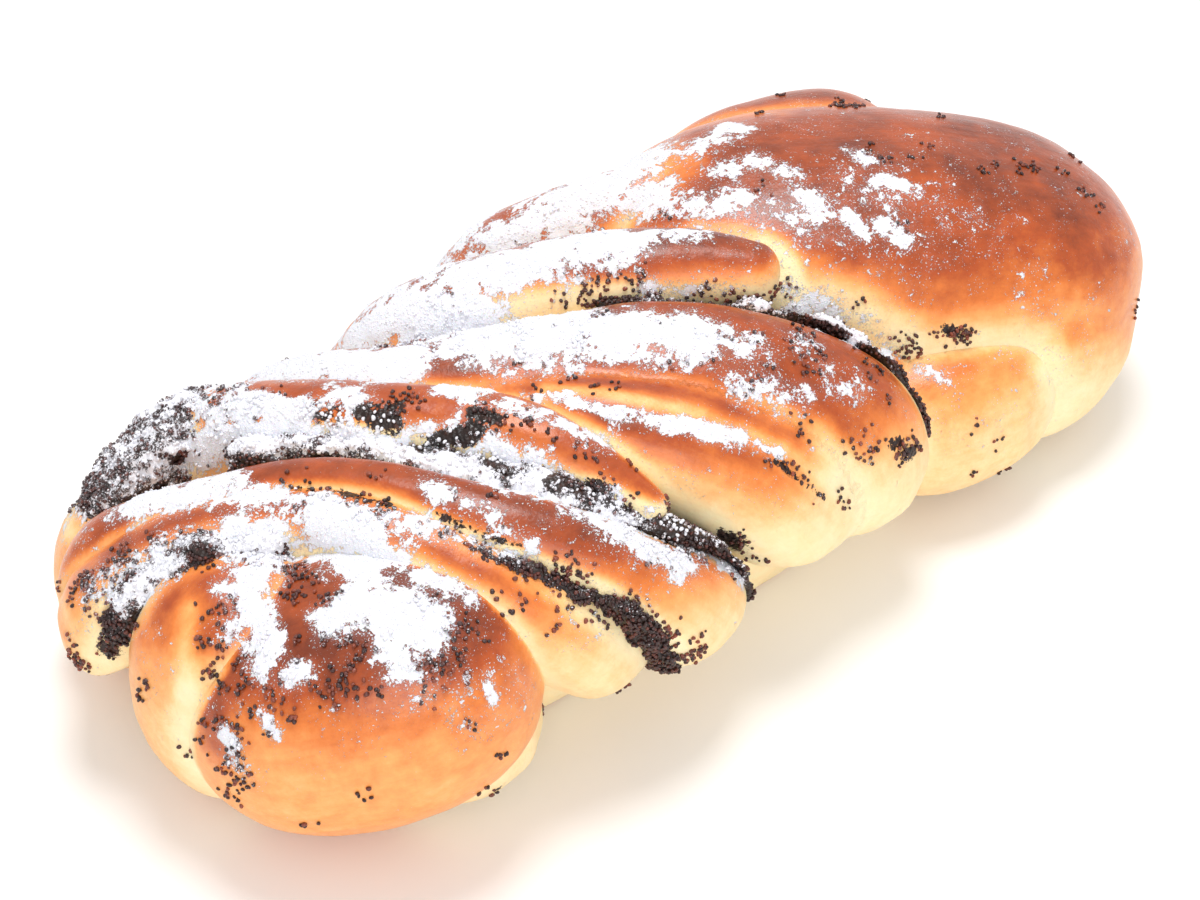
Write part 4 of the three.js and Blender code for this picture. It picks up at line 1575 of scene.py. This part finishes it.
class POPPYCAKE_OT_dough(bpy.types.Operator):
    """Bake the strands, lobes and folds of dough"""

    bl_idname = "poppycake.dough"
    bl_label = "Dough"

    def execute(self, context):
        detail = context.scene.poppy_cake.dough_detail
        touch_browning([dough_piece(name, detail) for name in DOUGH])
        return {"FINISHED"}


class POPPYCAKE_OT_filling(bpy.types.Operator):
    """Lay the dark poppy seed filling in the seams"""

    bl_idname = "poppycake.filling"
    bl_label = "Filling"

    def execute(self, context):
        for name in FILLINGS:
            filling_piece(name)
        return {"FINISHED"}


class POPPYCAKE_OT_sugar(bpy.types.Operator):
    """Dust the loaf with powdered sugar"""

    bl_idname = "poppycake.sugar"
    bl_label = "Powdered Sugar"

    def execute(self, context):
        pieces = cake_pieces([*DOUGH, *FILLINGS])
        tree = tree_of(pieces)
        spots = lay_patches(FILLING_SPOTS, tree)
        laid = lay_patches(SUGAR_PATCHES, tree), lay_patches(BARE_PATCHES, tree) + spots
        for piece in pieces:
            dust(piece.data, laid, spots)

        def clumped(middle, normal):
            return smoothstep(*CLUMP_SUGAR, sugar_at(middle, normal, laid))

        random = np.random.default_rng(RANDOM_START)
        count = context.scene.poppy_cake.sugar_clumps
        faces = weighed_faces(pieces, clumped)
        places, normals = spread(faces, count, CLUMPS_APART, random)
        frames = turned_frames(normals, random)
        least, more = CLUMP_SIZES
        sizes = (least + more * random.random((len(places), 1)) ** 2) * CLUMP_SHAPE
        form = clump_form()
        rough = CLUMP_ROUGHNESS * random.normal(size=(len(places), len(form[0]), 1))
        clumps = scattered_piece("sugar_clumps", form, places, frames, sizes, rough)
        finish_piece(clumps, material_of("sugar_powder", make_powder), ())
        return {"FINISHED"}


class POPPYCAKE_OT_seeds(bpy.types.Operator):
    """Scatter poppy seeds on the dough and pack them on the filling"""

    bl_idname = "poppycake.seeds"
    bl_label = "Poppy Seeds"

    def execute(self, context):
        settings = context.scene.poppy_cake
        length = settings.seed_length / MM
        dough, fillings = cake_pieces(DOUGH), cake_pieces(FILLINGS)
        tree = tree_of(dough + fillings)
        laid = lay_patches((*SEED_PATCHES, *FILLING_SPOTS), tree)
        sugar = lay_patches(SUGAR_PATCHES, tree), lay_patches(BARE_PATCHES, tree)

        def strewn(middle, normal):
            stray = STRAY_SEEDS * smoothstep(*STRAY_Z, middle[:, 2])
            return stray + amount_at(middle, laid, plateau) ** PATCH_POWER

        def packed(middle, normal):
            hidden = smoothstep(*SUGARED_SEEDS, sugar_at(middle, normal, sugar))
            return 1 - HIDDEN_SEEDS * hidden

        random = np.random.default_rng(RANDOM_START + 1)
        faces = weighed_faces(dough, strewn)
        spots = spread(faces, settings.loose_seeds, SEEDS_APART, random)
        spots = gather(*spots, tree, random)
        lay_seeds("loose_seeds", spots, length, sugar, 1.0, random)
        faces = weighed_faces(fillings, packed)
        spots = spread(faces, settings.filling_seeds, PACKED_APART, random)
        lay_seeds("filling_seeds", spots, length, sugar, PACKED_TONE, random)
        return {"FINISHED"}


class POPPYCAKE_PT_panel(bpy.types.Panel):
    """Lists what the cake is built from"""

    bl_idname = "POPPYCAKE_PT_panel"
    bl_label = "Poppy Seed Cake"
    bl_space_type = "VIEW_3D"
    bl_region_type = "UI"
    bl_category = "Poppy Seed Cake"

    def draw(self, context):
        settings = context.scene.poppy_cake
        for name in settings.bl_rna.properties.keys():
            if name not in ("rna_type", "name"):
                self.layout.prop(settings, name)
        for operator in OPERATORS:
            self.layout.operator(operator.bl_idname)


OPERATORS = (
    POPPYCAKE_OT_stage,
    POPPYCAKE_OT_dough,
    POPPYCAKE_OT_filling,
    POPPYCAKE_OT_sugar,
    POPPYCAKE_OT_seeds,
)
CLASSES = (PoppyCakeSettings, *OPERATORS, POPPYCAKE_PT_panel)


def register():
    for cls in CLASSES:
        bpy.utils.register_class(cls)
    bpy.types.Scene.poppy_cake = bpy.props.PointerProperty(type=PoppyCakeSettings)


def unregister():
    del bpy.types.Scene.poppy_cake
    for cls in reversed(CLASSES):
        bpy.utils.unregister_class(cls)


def main():
    register()
    bpy.ops.poppycake.stage()
    bpy.ops.poppycake.dough()
    bpy.ops.poppycake.filling()
    bpy.ops.poppycake.sugar()
    bpy.ops.poppycake.seeds()


if __name__ == "__main__":
    main()
